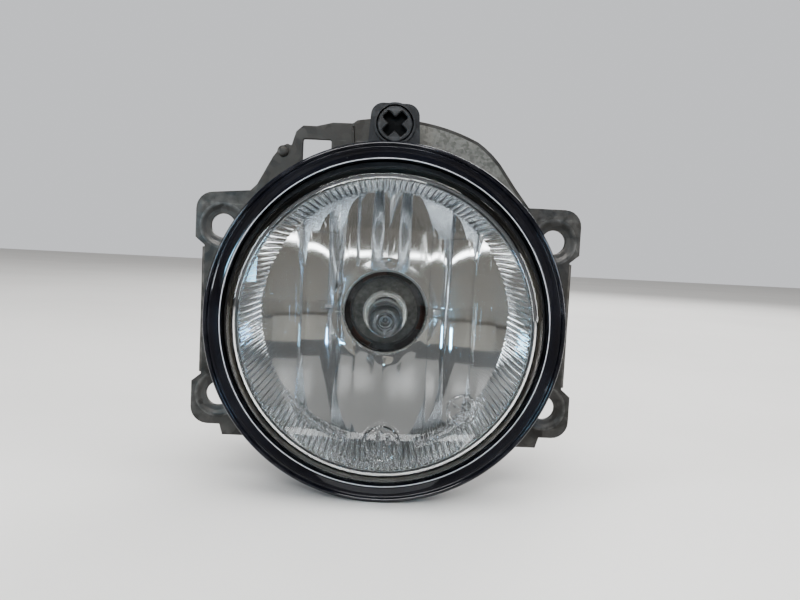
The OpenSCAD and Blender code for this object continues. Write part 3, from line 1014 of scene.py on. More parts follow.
@dataclass
class FrontGlass:
    """The cup-shaped clear glass: a shallow dome, a rounded shoulder and a skirt."""

    radius: float = frame_high("lens", 0)
    tip: float = frame_low("lens", 1)
    back: float = frame_high("lens", 1)
    shoulder: float = 4.5
    dome: float = 2.6
    wall: float = 2.5
    steps: int = 720
    relief: float = 0.4
    marks: list[GlassMark] = field(default_factory=lambda: [
        GlassMark(0.4, -33.2, 5.0, 4), GlassMark(22.8, -22.2, 4.0, 3),
    ])
    dash_rows: list[tuple[float, float, float, int]] = field(default_factory=lambda: [
        (33.5, 216.0, 252.0, 15), (34.5, 288.0, 326.0, 16),
        (39.2, 250.0, 268.0, 8), (39.2, 273.0, 290.0, 7),
    ])

    def relief_at(self, radius: float, angle: float) -> float:
        """Height of the raised marks at a place on the glass, in millimetres.

        Args:
            radius: its radius.
            angle: angle round the axis, in radians.

        Returns:
            The height.
        """
        x, z = radius * math.cos(angle), radius * math.sin(angle)
        tall = max(mark.height(x, z) for mark in self.marks)
        turn = math.degrees(angle) % 360
        for row, start, end, count in self.dash_rows:
            if abs(radius - row) > 1.2 or not start - 2 < turn < end + 2:
                continue
            step = (end - start) / (count - 1)
            nearest = start + step * round((min(max(turn, start), end) - start) / step)
            along = math.radians(turn - nearest) * radius
            tall = max(tall, math.exp(-(along / 0.45) ** 2 - ((radius - row) / 0.5) ** 2))
        return self.relief * tall

    def profile(self) -> list[Point]:
        """The glass's section, from the middle of its front to the middle of its inner face.

        Returns:
            The closed section of [radius, y] points.
        """
        edge = self.radius - self.shoulder
        flat = self.tip + self.dome
        radii = [0.0, 4.0, 8.0, 12.0] + [14.0 + (edge - 14.0) * i / 84 for i in range(85)]
        outer = [(r, self.tip + self.dome * (r / edge) ** 2) for r in radii]
        inner = [(r, y + self.wall) for r, y in (*outer[:-1:6], outer[-1])]
        centre = (edge, flat + self.shoulder)
        return [
            *outer, *arc(centre, self.shoulder, 276, 360, 12),
            (self.radius, self.back), (self.radius - self.wall, self.back),
            *arc(centre, self.shoulder - self.wall, 360, 276, 10), *reversed(inner),
        ]

    def build(self) -> None:
        """Makes the glass, with its marks on the outer face."""
        limit = self.tip + self.dome + 0.2

        def press(radius: float, y: float, angle: float) -> Point:
            """Raises the marks from the front face only.

            Args:
                radius: its radius.
                y: place along the axis.
                angle: angle round the axis, in radians.

            Returns:
                The new (radius, y).
            """
            front = self.tip + self.dome * (radius / (self.radius - self.shoulder)) ** 2
            if y < limit and abs(y - front) < 0.01 and radius > 14:
                return radius, y - self.relief_at(radius, angle)
            return radius, y

        shape = Shape().lathe(self.profile(), self.steps, warp=press)
        bmesh.ops.remove_doubles(shape.mesh, verts=shape.mesh.verts, dist=1e-4)
        shape.ship("lens_glass_cup", ["lens"], [LENS_GLASS])

    def build_seal(self) -> None:
        """Makes the sealant bead under the glass's rim, and a film between skirt and housing in the same
        beige, which is painted light standing in for the light seen through the glass's shoulder.
        """
        start, end = low("lens_seal", 1), high("lens_seal", 1)
        outer = high("lens_seal", 0)
        inner = outer - 2.4
        section = rounded([(inner, start), (outer, start), (outer, end), (inner, end)], 0.4)
        # Painted light: this thin beige film stands in for the light seen through the glass's shoulder; the
        # bead itself is the real sealant.
        painted_light_film = [(outer + 0.03, self.tip + 13.6), (outer + 0.17, self.tip + 13.4), (outer + 0.17, end),
                (outer + 0.03, end)]
        Shape().lathe(section, 160).lathe(painted_light_film, 160).ship("lens_sealant", ["lens_seal"], [SEALANT_AND_PAINTED_LIGHT])


# ---------------------------------------------------------------- mirrors

@dataclass
class FlutedWall:
    """The aluminised inner wall, with rounded flutes that run front to back."""

    radius: float = frame_high("fluted_ring", 0)
    front: float = frame_low("fluted_ring", 1)
    back: float = frame_high("fluted_ring", 1)
    flutes: int = 150
    per_flute: int = 12
    depth: float = 0.85
    base: float = 0.35

    def build(self) -> None:
        """Makes the wall; the flutes fade into plain lands at both ends."""
        inner = self.radius - self.base
        length = self.back - self.front
        stations = [0.0, 0.012, 0.03, 0.05, 0.1, 0.3, 0.5, 0.7, 0.9, 0.96, 0.985, 1.0]
        face = [(inner - 0.25 * t, self.front + length * t) for t in stations]
        profile = [(self.radius, self.back), (self.radius, self.front), *face]

        def flute(radius: float, y: float, angle: float) -> Point:
            """Raises a rounded flute from the inner face.

            Args:
                radius: its radius.
                y: place along the axis.
                angle: angle round the axis, in radians.

            Returns:
                The new (radius, y).
            """
            if radius > inner + 0.001:
                return radius, y
            along = (y - self.front) / length
            front_fade = min(1.0, max(0.0, (along - 0.008) / 0.035))
            ends = front_fade * min(1.0, max(0.0, (1.0 - along) / 0.03 + 0.25))
            across = (self.flutes * angle / (2 * math.pi)) % 1.0 * 2 - 1
            crest = math.sqrt(max(0.0, 1 - (0.97 * across) ** 2))
            return radius - self.depth * ends * crest, y

        shape = Shape().lathe(profile, self.flutes * self.per_flute, warp=flute)
        shape.ship("fluted_inner_wall", ["fluted_ring"], [FLUTE_MIRROR], sharp=60)


@dataclass(frozen=True)
class Strip:
    """One upright strip of the mirror: where it starts, and how it leaves the plain bowl.

    The slope is in millimetres along Y for each one across, and the bulge is for its square.
    """

    start: float
    sink: float
    slope: float
    bulge: float
    pocket: float = 0.0


@dataclass(frozen=True)
class Pad:
    """A small flat pad that stands out of the mirror's face, given by its middle and half sizes."""

    x: float
    z: float
    half_x: float
    half_z: float
    rise: float
    tilt: float = 0.0

    def covers(self, x: float, z: float) -> bool:
        """Whether a place on the mirror lies on the pad.

        Args:
            x: place across the lamp.
            z: place above its axis.

        Returns:
            True if it does.
        """
        return abs(x - self.x) <= self.half_x + 1e-6 and abs(z - self.z) <= self.half_z + 1e-6


@dataclass
class StripMirror:
    """The free-form reflector: a deep bowl cut into upright strips that stand at different depths."""

    radius: float = frame_high("reflector", 0)
    rim: float = frame_low("reflector", 1)
    back: float = frame_high("reflector", 1)
    vertex: float = 25.4
    focal: float = 30.0
    shell_focal: float = 24.0
    lean: float = 0.35
    opening: float = 15.0
    end: float = 44.0
    pitch: float = 0.55
    pocket_floor: float = 27.0
    strips: tuple[Strip, ...] = (
        Strip(-44.0, -0.6, 0.30, 0.0), Strip(-38.5, -2.2, -0.11, -0.022),
        Strip(-28.7, -0.3, 0.08, 0.020, 1.1),
        Strip(-17.0, 0.7, -0.12, 0.034), Strip(-10.0, -0.1, 0.015, 0.012), Strip(0.0, -0.1, -0.015, 0.012),
        Strip(15.7, 1.0, 0.13, 0.040, 0.9), Strip(21.4, -0.3, -0.07, 0.020, 0.9),
        Strip(30.2, -2.2, 0.10, -0.022), Strip(38.5, -0.6, -0.30, 0.0),
    )
    pads: tuple[Pad, ...] = (
        Pad(-20.7, 1.2, 3.2, 1.9, -0.9), Pad(-20.2, 1.2, 1.3, 1.0, 0.5, -0.35),
        Pad(20.0, 0.4, 3.4, 1.9, -0.9),
        Pad(18.6, 0.4, 1.4, 1.1, 0.6, -0.35), Pad(0.0, 19.0, 1.5, 1.2, 1.3),
    )

    def depth_at(self, x: float, z: float, number: int) -> float:
        """Where the mirror's face lies along Y in one strip, in millimetres.

        Args:
            x: place across the lamp.
            z: place above its axis.
            number: the strip's number.

        Returns:
            The place along Y.
        """
        strip = self.strips[number]
        end = self.strips[number + 1].start if number + 1 < len(self.strips) else self.end
        middle = (strip.start + end) / 2
        off = x - middle
        bowl = self.vertex - (middle * middle + z * z) / (4 * self.focal)
        tilt = strip.slope - self.lean * middle / (2 * self.focal)
        leave = strip.sink + tilt * off + strip.bulge * off * off
        if z > self.pocket_floor:
            leave += strip.pocket
        leave += sum(pad.rise + pad.tilt * (z - pad.z) for pad in self.pads if pad.covers(x, z))
        fade = min(1.0, max(0.25, (math.hypot(x, z) - self.opening) / 4.0))
        return bowl + leave * fade

    def columns(self) -> list[tuple[float, int]]:
        """Places across the mirror, each with its strip; a strip's edge comes twice, once for each side.

        Returns:
            Pairs of place and strip number.
        """
        result: list[tuple[float, int]] = []
        sides = sorted({round(pad.x + sign * (pad.half_x + gap), 3)
                        for pad in self.pads for sign in (-1, 1) for gap in (0.0, 0.12)})
        for number, strip in enumerate(self.strips):
            end = self.strips[number + 1].start if number + 1 < len(self.strips) else self.end
            count = max(4, round((end - strip.start) / self.pitch))
            places = {strip.start + (end - strip.start) * i / count for i in range(count + 1)}
            places |= {x for x in sides if strip.start < x < end}
            result += [(x, number) for x in sorted(places)]
        return result

    def rows(self, sign: float) -> list[float]:
        """Heights of the grid's rows in one half, from the middle outwards.

        Args:
            sign: 1 or -1, for the side.

        Returns:
            The heights.
        """
        count = round(self.end / self.pitch)
        plain = {self.end * i / count for i in range(count + 1)}
        steps = {self.pocket_floor, self.pocket_floor + 0.12} if sign > 0 else set()
        for pad in self.pads:
            steps |= {abs(pad.z + side * (pad.half_z + gap)) for side in (-1, 1) for gap in (0.0, 0.12)
                      if (pad.z + side * (pad.half_z + gap)) * sign >= 0}
        return [sign * z for z in sorted(plain | steps)]

    def build(self) -> None:
        """Makes the mirror as a cut grid with steps between its strips, and closes its back."""
        shape = Shape()
        mesh = shape.mesh
        outer = self.radius - 0.9
        for sign in (1.0, -1.0):
            grid = []
            for x, number in self.columns():
                reach = math.sqrt(max(outer * outer - x * x, 0.0))
                start = math.sqrt(max(self.opening * self.opening - x * x, 0.0))
                heights = [sign * min(max(abs(z), start), reach) for z in self.rows(sign)]
                grid.append([mesh.verts.new((x, self.depth_at(x, z, number), z)) for z in heights])
            for left, right in zip(grid, grid[1:]):
                for k in range(len(left) - 1):
                    shape.face([left[k], right[k], right[k + 1], left[k + 1]])
        bmesh.ops.remove_doubles(mesh, verts=mesh.verts, dist=1e-4)
        bmesh.ops.dissolve_degenerate(mesh, edges=mesh.edges, dist=1e-5)
        self.close_back(shape)
        shape.ship("strip_reflector", ["reflector"], [STRIP_MIRROR, DUSTY_SLEEVE], sharp=18)

    def close_back(self, shape: Shape) -> None:
        """Adds the rim flange, the opening's pitted sleeve and the mirror's back shell.

        Args:
            shape: the shape that it goes into.
        """
        span = self.radius - 1.2 - self.opening
        shell = [(r, self.back - r * r / (4 * self.shell_focal))
                 for r in (self.opening + 0.2 + span * i / 20 for i in range(21))]
        shape.lathe([*shell, *((r, y - 0.4) for r, y in reversed(shell))], 128)
        rim = rounded([(self.radius - 1.6, self.rim + 0.1), (self.radius, self.rim + 0.1),
                       (self.radius, self.rim + 1.4), (self.radius - 1.6, self.rim + 1.4)], 0.2)
        shape.lathe(rim, 160)
        end = self.back - self.opening ** 2 / (4 * self.shell_focal)
        sleeve = rounded([(self.opening - 0.6, end - 4.3), (self.opening + 0.25, end - 4.3),
                          (self.opening + 0.25, end), (self.opening - 0.6, end)], 0.25)
        shape.paint(1).lathe(sleeve, 128)


# ---------------------------------------------------------------- pieces kept from the CAD

@dataclass(frozen=True)
class CarriedPart:
    """A CAD node that is shown as it is, with softened edges and a finish of its own."""

    node: str
    finish: Finish
    edge: float = 0.25

    def dress(self) -> None:
        """Joins the node's loose corners, softens its edges and gives it its finish."""
        piece = frame["nodes"][self.node]
        data = piece.data
        data.materials.clear()
        data.materials.append(self.finish.material())
        if "custom_normal" in data.attributes:
            data.attributes.remove(data.attributes["custom_normal"])
        for name in ("sharp_edge", "sharp_face"):
            if name in data.attributes:
                data.attributes.remove(data.attributes[name])
        joined = piece.modifiers.new("joined_corners", "WELD")
        joined.merge_threshold = 1e-6
        soft = piece.modifiers.new("softened_edges", "BEVEL")
        soft.width = self.edge * MM
        soft.segments = 2
        soft.limit_method = "ANGLE"
        soft.angle_limit = math.radians(34)
        soft.harden_normals = True
        LOG.info("%s is kept from the CAD", self.node)


# ---------------------------------------------------------------- bracket and pivots

@dataclass
class SteelBracket:
    """The stamped steel bracket: plate, dished seats, drawn collar, folds and side flanges."""

    front: float = -0.5
    sheet: float = 1.5
    half_x: float = frame_high("bracket", 0)
    top: float = frame_high("bracket", 2)
    foot: float = field(default_factory=lambda: -low("bracket", 2))
    hole_x: float = 53.75
    hole_z: float = 27.5
    hole: float = 3.85
    window: float = 50.0
    leg: float = 41.0
    side: float = 60.4
    crown: float = 64.4
    pivot: Point = (9.0, 0.0)

    def ear(self) -> list[Point]:
        """The left side of the plate, from its foot up to the top of the ear.

        Returns:
            Its points.
        """
        corner = 5.5
        low_z, high_z = -self.hole_z - 10.0, self.hole_z + 10.7
        return [
            (-self.leg, -self.foot), (-self.hole_x + 1.8, -self.foot), (-self.hole_x + 0.8, low_z),
            *arc((-self.half_x + corner, low_z + corner), corner, 270, 180, 6),
            (-self.half_x, -self.hole_z + 4), (-self.side + 0.9, -self.hole_z + 6.5),
            (-self.side + 0.9, self.hole_z - 6.5), (-self.half_x, self.hole_z - 4),
            *arc((-self.half_x + corner, high_z - corner), corner, 180, 90, 6),
        ]

    def outline(self) -> list[Point]:
        """The plate's outline, round the outside and back along the window.

        Returns:
            Its points.
        """
        arm = [(-46, 38.6), (-43.3, 41.3), (-38.5, 50.4), (-35.9, 53.8), (-34, 54.7), (-32.7, 54.1),
               (-32.3, 55.7), (-31.4, 58.7), (-29.2, 60.7), (-25, 60.7), (-19.7, 62.1), (-13.4, 62.2),
               (-11.5, 63.6)]
        tab = [(-7, self.top - 2), (-5, self.top), (5, self.top), (7, self.top - 2)]
        shoulder = [(29.6, 56.7), (32.2, 54.5), (34.8, 51.7), (40.1, 44.4), (45, 38.2)]
        lean = math.degrees(math.acos(self.leg / self.window))
        return [
            *self.ear(), *rounded(arm, 0.8)[2:-2], *arc((0, 0), self.crown, 99, 96.5, 2), *tab,
            *arc((0, 0), self.crown, 84, 65, 10), *shoulder, *mirrored(self.ear()),
            *arc((0, 0), self.window, -lean, 180 + lean, 96),
        ]

    def seats(self) -> list[Point]:
        """Middles of the four dished seats.

        Returns:
            Their middles.
        """
        return [(x * self.hole_x, z * self.hole_z) for x in (-1, 1) for z in (-1, 1)]

    def build_plate(self, shape: Shape) -> None:
        """Adds the plate with its window, nut hole and the four dished seats.

        Args:
            shape: the shape that it goes into.
        """
        slot = rounded([(-29, 49), (-20, 49), (-20, 56.5), (-29, 56.4)], 0.7)
        nut = rounded([(-4.4, 56.6), (4.4, 56.6), (4.4, 65.4), (-4.4, 65.4)], 0.5)
        cuts = [slot, nut, *(circle(seat, 6.5, 40) for seat in self.seats())]
        shape.prism(self.outline(), self.front, self.front + self.sheet, cuts, edge=0.28)
        back = self.front + self.sheet
        dish = [
            (self.hole, 0.35), (self.hole + 0.1, 0.1), (self.hole + 0.35, 0.0), (5.2, 0.0), (5.7, -0.12),
            (6.3, -0.42), (6.8, self.front - 0.02), (7.5, self.front - 0.015),
            (7.5, back + 0.015), (6.8, back + 0.02), (5.9, back + 0.3), (5.2, 1.5),
            (self.hole + 0.3, 1.5), (self.hole, 1.2),
        ]
        for x, z in self.seats():
            shape.paint(2).lathe(dish, 72, Matrix.Translation((x, 0, z)))
        shape.paint(0)

    def build_folds(self, shape: Shape) -> None:
        """Adds the collar round the window, and the side flanges with their folds.

        Args:
            shape: the shape that it goes into.
        """
        outer = self.window + self.sheet
        for start, end in ((13, 167), (192, 212), (-32, -12)):
            sector = [*arc((0, 0), outer, start, end, 60), *arc((0, 0), self.window, end, start, 60)]
            shape.prism(sector, self.front + 0.2, self.front + 5.5, edge=0.3)
        py, pz = self.pivot
        cheek = [(0.6, -20.5), (2.2, -20.5), (11, -8), *arc((py, pz), 8, -68, 68, 16), (11, 8), (2.2, 20.5),
                 (0.6, 20.5)]
        upright = Matrix(((1, 0, 0, 0), (0, 0, 1, 0), (0, 1, 0, 0), (0, 0, 0, 1)))
        for sign in (-1, 1):
            turn = Matrix.Rotation(math.pi / 2, 4, "Z")
            span = sorted((-sign * self.side, -sign * (self.side - self.sheet)))
            shape.prism(cheek, span[0], span[1], [circle((py, pz), 2.5, 32)], edge=0.28, place=turn)
            middle = (sign * (self.side - self.sheet), self.front + self.sheet)
            swing = (180, 270) if sign < 0 else (360, 270)
            bend = [*arc(middle, self.sheet, *swing, 8), middle]
            shape.prism(bend, -20.4, 20.4, edge=0.05, place=upright)

    def build_marks(self, shape: Shape) -> None:
        """Adds the stamped button, the stiffening beads and the step beside the boss.

        Args:
            shape: the shape that it goes into.
        """
        button = [(0, -1.3), (0.9, -1.28), (1.5, -1.1), (1.8, -0.7), (1.9, -0.3), (1.9, 0.2), (0, 0.2)]
        shape.lathe(button, 32, Matrix.Translation((-35.3, 0, 52.2)))
        step = self.front - 0.05
        shape.wire([(-12.4, step, 50.2), (-12.7, step, 55.7), (-13.3, step, 61.4)], 0.32, 10)
        for sign in (-1, 1):
            rib = [(sign * 51.6, self.front + 0.05, z) for z in (-17, -8, 0, 8, 17)]
            shape.wire(rib, 0.5, 12)
        crown = [*arc((0, 0), self.crown - 1.0, 83, 65, 12), (28.9, 55.9), (31.4, 53.7), (34, 51),
                 (39.2, 43.8), (43.4, 38.4), *arc((0, 0), 55.5, 41, 83, 24)]
        shape.paint(1).prism(crown, self.front - 0.03, self.front + 0.6, edge=0.1)
        shape.paint(0)

    def build(self) -> None:
        """Makes the bracket."""
        shape = Shape()
        self.build_plate(shape)
        self.build_folds(shape)
        self.build_marks(shape)
        shape.ship("stamped_bracket", ["bracket"], [BRACKET_STEEL, CROWN_STEEL, SEAT_STEEL], sharp=40)


@dataclass
class SidePivots:
    """The two headed pins and the flanged bushes that they run in."""

    pin: float = 2.45
    head: float = 4.6
    along: float = 9.0

    def lay(self, sign: int) -> Matrix:
        """Turns what is drawn along +Y so that it points outwards on one side.

        Args:
            sign: 1 or -1, for the side.

        Returns:
            The matrix.
        """
        turn = Matrix.Rotation(math.pi / 2 if sign < 0 else -math.pi / 2, 4, "Z")
        return Matrix.Translation((0, self.along, 0)) @ turn

    def build(self) -> None:
        """Makes both pins and both bushes."""
        outer, inner = high("pivot_pin_right", 0), low("pivot_pin_right", 0)
        seat = outer - 0.9
        pin = [
            (0, inner), (self.pin - 0.5, inner), (self.pin, inner + 0.5), (self.pin, seat - 0.02),
            (self.head - 0.2, seat), (self.head, seat + 0.25), (self.head - 0.1, outer - 0.25),
            (self.head - 0.6, outer - 0.04), (1.5, outer), (1.2, outer - 0.25), (0, outer - 0.35),
        ]
        end, start = high("pivot_bush_right", 0), low("pivot_bush_right", 0)
        bore, wall, flange = self.pin + 0.05, 3.95, 6.0
        bush = [
            (bore, start), (wall, start), (wall, end - 1.2), (flange - 0.2, end - 1.2), (flange, end - 1.0),
            (flange, end - 0.3), (flange - 0.3, end), (bore + 0.4, end), (bore, end - 0.4),
        ]
        for sign, side in ((-1, "left"), (1, "right")):
            at = self.lay(sign)
            Shape().lathe(pin, 64, at).ship(f"{side}_pin", [f"pivot_pin_{side}"], [PIN_STEEL])
            Shape().lathe(bush, 64, at).ship(f"{side}_bush", [f"pivot_bush_{side}"], [BUSH_ACETAL])


# ---------------------------------------------------------------- screws

def cross(half_length: float, half_width: float, turn: float = 45.0) -> list[Point]:
    """Outline of a cross recess, turned by an angle in degrees.

    Args:
        half_length: from the middle to an arm's end.
        half_width: half of an arm's width.
        turn: its angle in degrees.

    Returns:
        The outline.
    """
    long, wide = half_length, half_width
    quarter = [(wide, -long), (wide, -wide), (long, -wide)]
    points = []
    for k in range(4):
        cosine, sine = math.cos(math.radians(turn + 90 * k)), math.sin(math.radians(turn + 90 * k))
        points += [(x * cosine - z * sine, x * sine + z * cosine) for x, z in quarter]
    return rounded(points, half_width * 0.28)


def thread(shape: Shape, root: float, crest: float, pitch: float, start: float, end: float,
           place: Matrix) -> None:
    """Adds a threaded shank with plain ends.

    Args:
        shape: the shape that it goes into.
        root: radius at the bottom of the thread.
        crest: radius at its top.
        pitch: distance between turns.
        start: where the shank starts along Y.
        end: where it ends.
        place: where the shank goes.
    """
    count = round((end - start) / pitch * 14)
    stations = [start + (end - start) * i / count for i in range(count + 1)]

    def turn(radius: float, y: float, angle: float) -> Point:
        """Moves the wall out where the thread's crest passes.

        Args:
            radius: its radius.
            y: place along the axis.
            angle: angle round the axis, in radians.

        Returns:
            The new (radius, y).
        """
        if radius < root - 0.01:
            return radius, y
        phase = (y / pitch - angle / (2 * math.pi)) % 1.0
        ridge = max(0.0, 1.0 - abs(phase - 0.5) * 3.2)
        ends = min(1.0, (y - start) / (0.6 * pitch), (end - y) / (0.6 * pitch))
        return root + (crest - root) * min(1.0, ridge * 1.4) * max(0.0, ends), y

    shape.lathe([(0.02, start), *((root, y) for y in stations), (0.02, end)], 48, place, warp=turn)


@dataclass
class AimingScrew:
    """The big cross-recess aiming screw and the toothed washer that keeps it in its boss."""

    height: float = 61.0
    head: float = 5.5
    shank: float = 2.5

    def build(self) -> None:
        """Makes the screw and its washer."""
        front, end = low("adjuster_screw", 1), high("adjuster_screw", 1)
        at = Matrix.Translation((0, 0, self.height))
        recess = cross(4.1, 1.3)
        screw = Shape()
        screw.prism(circle((0, 0), self.head, 72), front, front + 2.7, [recess], edge=0.42, place=at)
        floor = [(0, front + 1.9), (0.9, front + 2.1), (2.6, front + 2.45), (self.head - 0.3, front + 2.5),
                 (self.head - 0.1, front + 3.1), (self.head - 0.4, front + 3.3), (0, front + 3.3)]
        # The recess floor takes the painted shade.
        screw.paint(1).lathe(floor, 72, at).paint(0)
        screw.lathe([(0, front + 3), (2.2, front + 3), (2.2, 1), (0, 1)], 48, at)
        thread(screw, 1.95, self.shank, 2.0, 0.8, 13.2, at)
        screw.lathe([(0, 13), (1.9, 13), (1.8, 14), (1.3, end), (0, end)], 48, at)
        screw.ship("aiming_screw_turned", ["adjuster_screw"], [SCREW_BLACK, RECESS_SHADE])
        clip_front, clip_back = low("adjuster_clip", 1), high("adjuster_clip", 1)
        teeth = []
        for k in range(8):
            middle = 360 / 8 * k
            teeth += arc((0, 0), 3.5, middle - 15, middle - 6, 2)
            teeth += arc((0, 0), 2.5, middle - 4, middle + 8, 3)
        washer = Shape()
        rim = circle((0, 0), 5.0, 64)
        washer.prism(rim, clip_front + 0.05, clip_back - 0.05, [teeth], edge=0.12, place=at)
        washer.ship("push_on_washer", ["adjuster_clip"], [CLIP_STEEL])


@dataclass
class RingScrews:
    """The four self-tapping screws that hold the ring to the housing."""

    circle_radius: float = 51.2
    head: float = 2.5
    seat: float = -9.5

    def build(self) -> None:
        """Makes the four screws as one piece."""
        front, back = low("bezel_screws", 1), high("bezel_screws", 1)
        shape = Shape()
        for k in range(4):
            turn = Matrix.Rotation(-math.radians(45 + 90 * k), 4, "Y")
            at = turn @ Matrix.Translation((self.circle_radius, 0, 0))
            head = circle((0, 0), self.head, 40)
            shape.prism(head, self.seat + 0.5, back, [cross(1.45, 0.36)], edge=0.3, place=at)
            shape.lathe([(0, self.seat), (self.head, self.seat), (self.head, self.seat + 0.75),
                         (0, self.seat + 0.75)], 40, at)
            thread(shape, 1.0, 1.45, 1.1, front + 0.5, self.seat - 0.1, at)
        shape.ship("ring_fixing_screws", ["bezel_screws"], [SCREW_STEEL])


# ---------------------------------------------------------------- breather

@dataclass
class Breather:
    """The ribbed rubber breather cap and the felt disc under it."""

    x: float = -23.0
    z: float = 23.0
    ribs: int = 18

    def build(self) -> None:
        """Makes the cap and the felt disc."""
        at = Matrix.Translation((self.x, 0, self.z))
        start, end = low("vent_cap", 1), high("vent_cap", 1)
        half = (high("vent_cap", 0) - low("vent_cap", 0)) / 2
        profile = [
            (4.05, start + 0.3), (4.4, start), (5.1, start), (5.35, start + 0.3), (5.35, start + 1.5),
            (5.35, start + 3.0), (5.35, end - 2.4), (half - 0.2, end - 2.2), (half, end - 1.9),
            (half, end - 0.6), (half - 0.5, end - 0.1), (half - 1.2, end), (2.4, end),
            (2.1, end - 0.3), (0, end - 0.35), (0, end - 1.5), (4.05, end - 1.5),
        ]

        def rib(radius: float, y: float, angle: float) -> Point:
            """Raises grip ribs on the cap's side.

            Args:
                radius: its radius.
                y: place along the axis.
                angle: angle round the axis, in radians.

            Returns:
                The new (radius, y).
            """
            if 5.3 < radius < 5.4 and start + 0.2 < y < end - 2.3:
                return radius + 0.25 * max(0.0, math.cos(self.ribs * angle)), y
            return radius, y

        cap = Shape().lathe(profile, self.ribs * 8, at, warp=rib)
        bmesh.ops.remove_doubles(cap.mesh, verts=cap.mesh.verts, dist=1e-4)
        cap.ship("breather_cap", ["vent_cap"], [VENT_RUBBER])
        low_y, high_y = low("vent_filter", 1), high("vent_filter", 1)
        felt = [(0, low_y), (3.3, low_y), (3.85, low_y + 0.35), (3.85, high_y - 0.35), (3.4, high_y),
                (0, high_y - 0.1)]
        Shape().lathe(felt, 48, at).ship("breather_felt", ["vent_filter"], [FILTER_FELT])


# ---------------------------------------------------------------- bulb

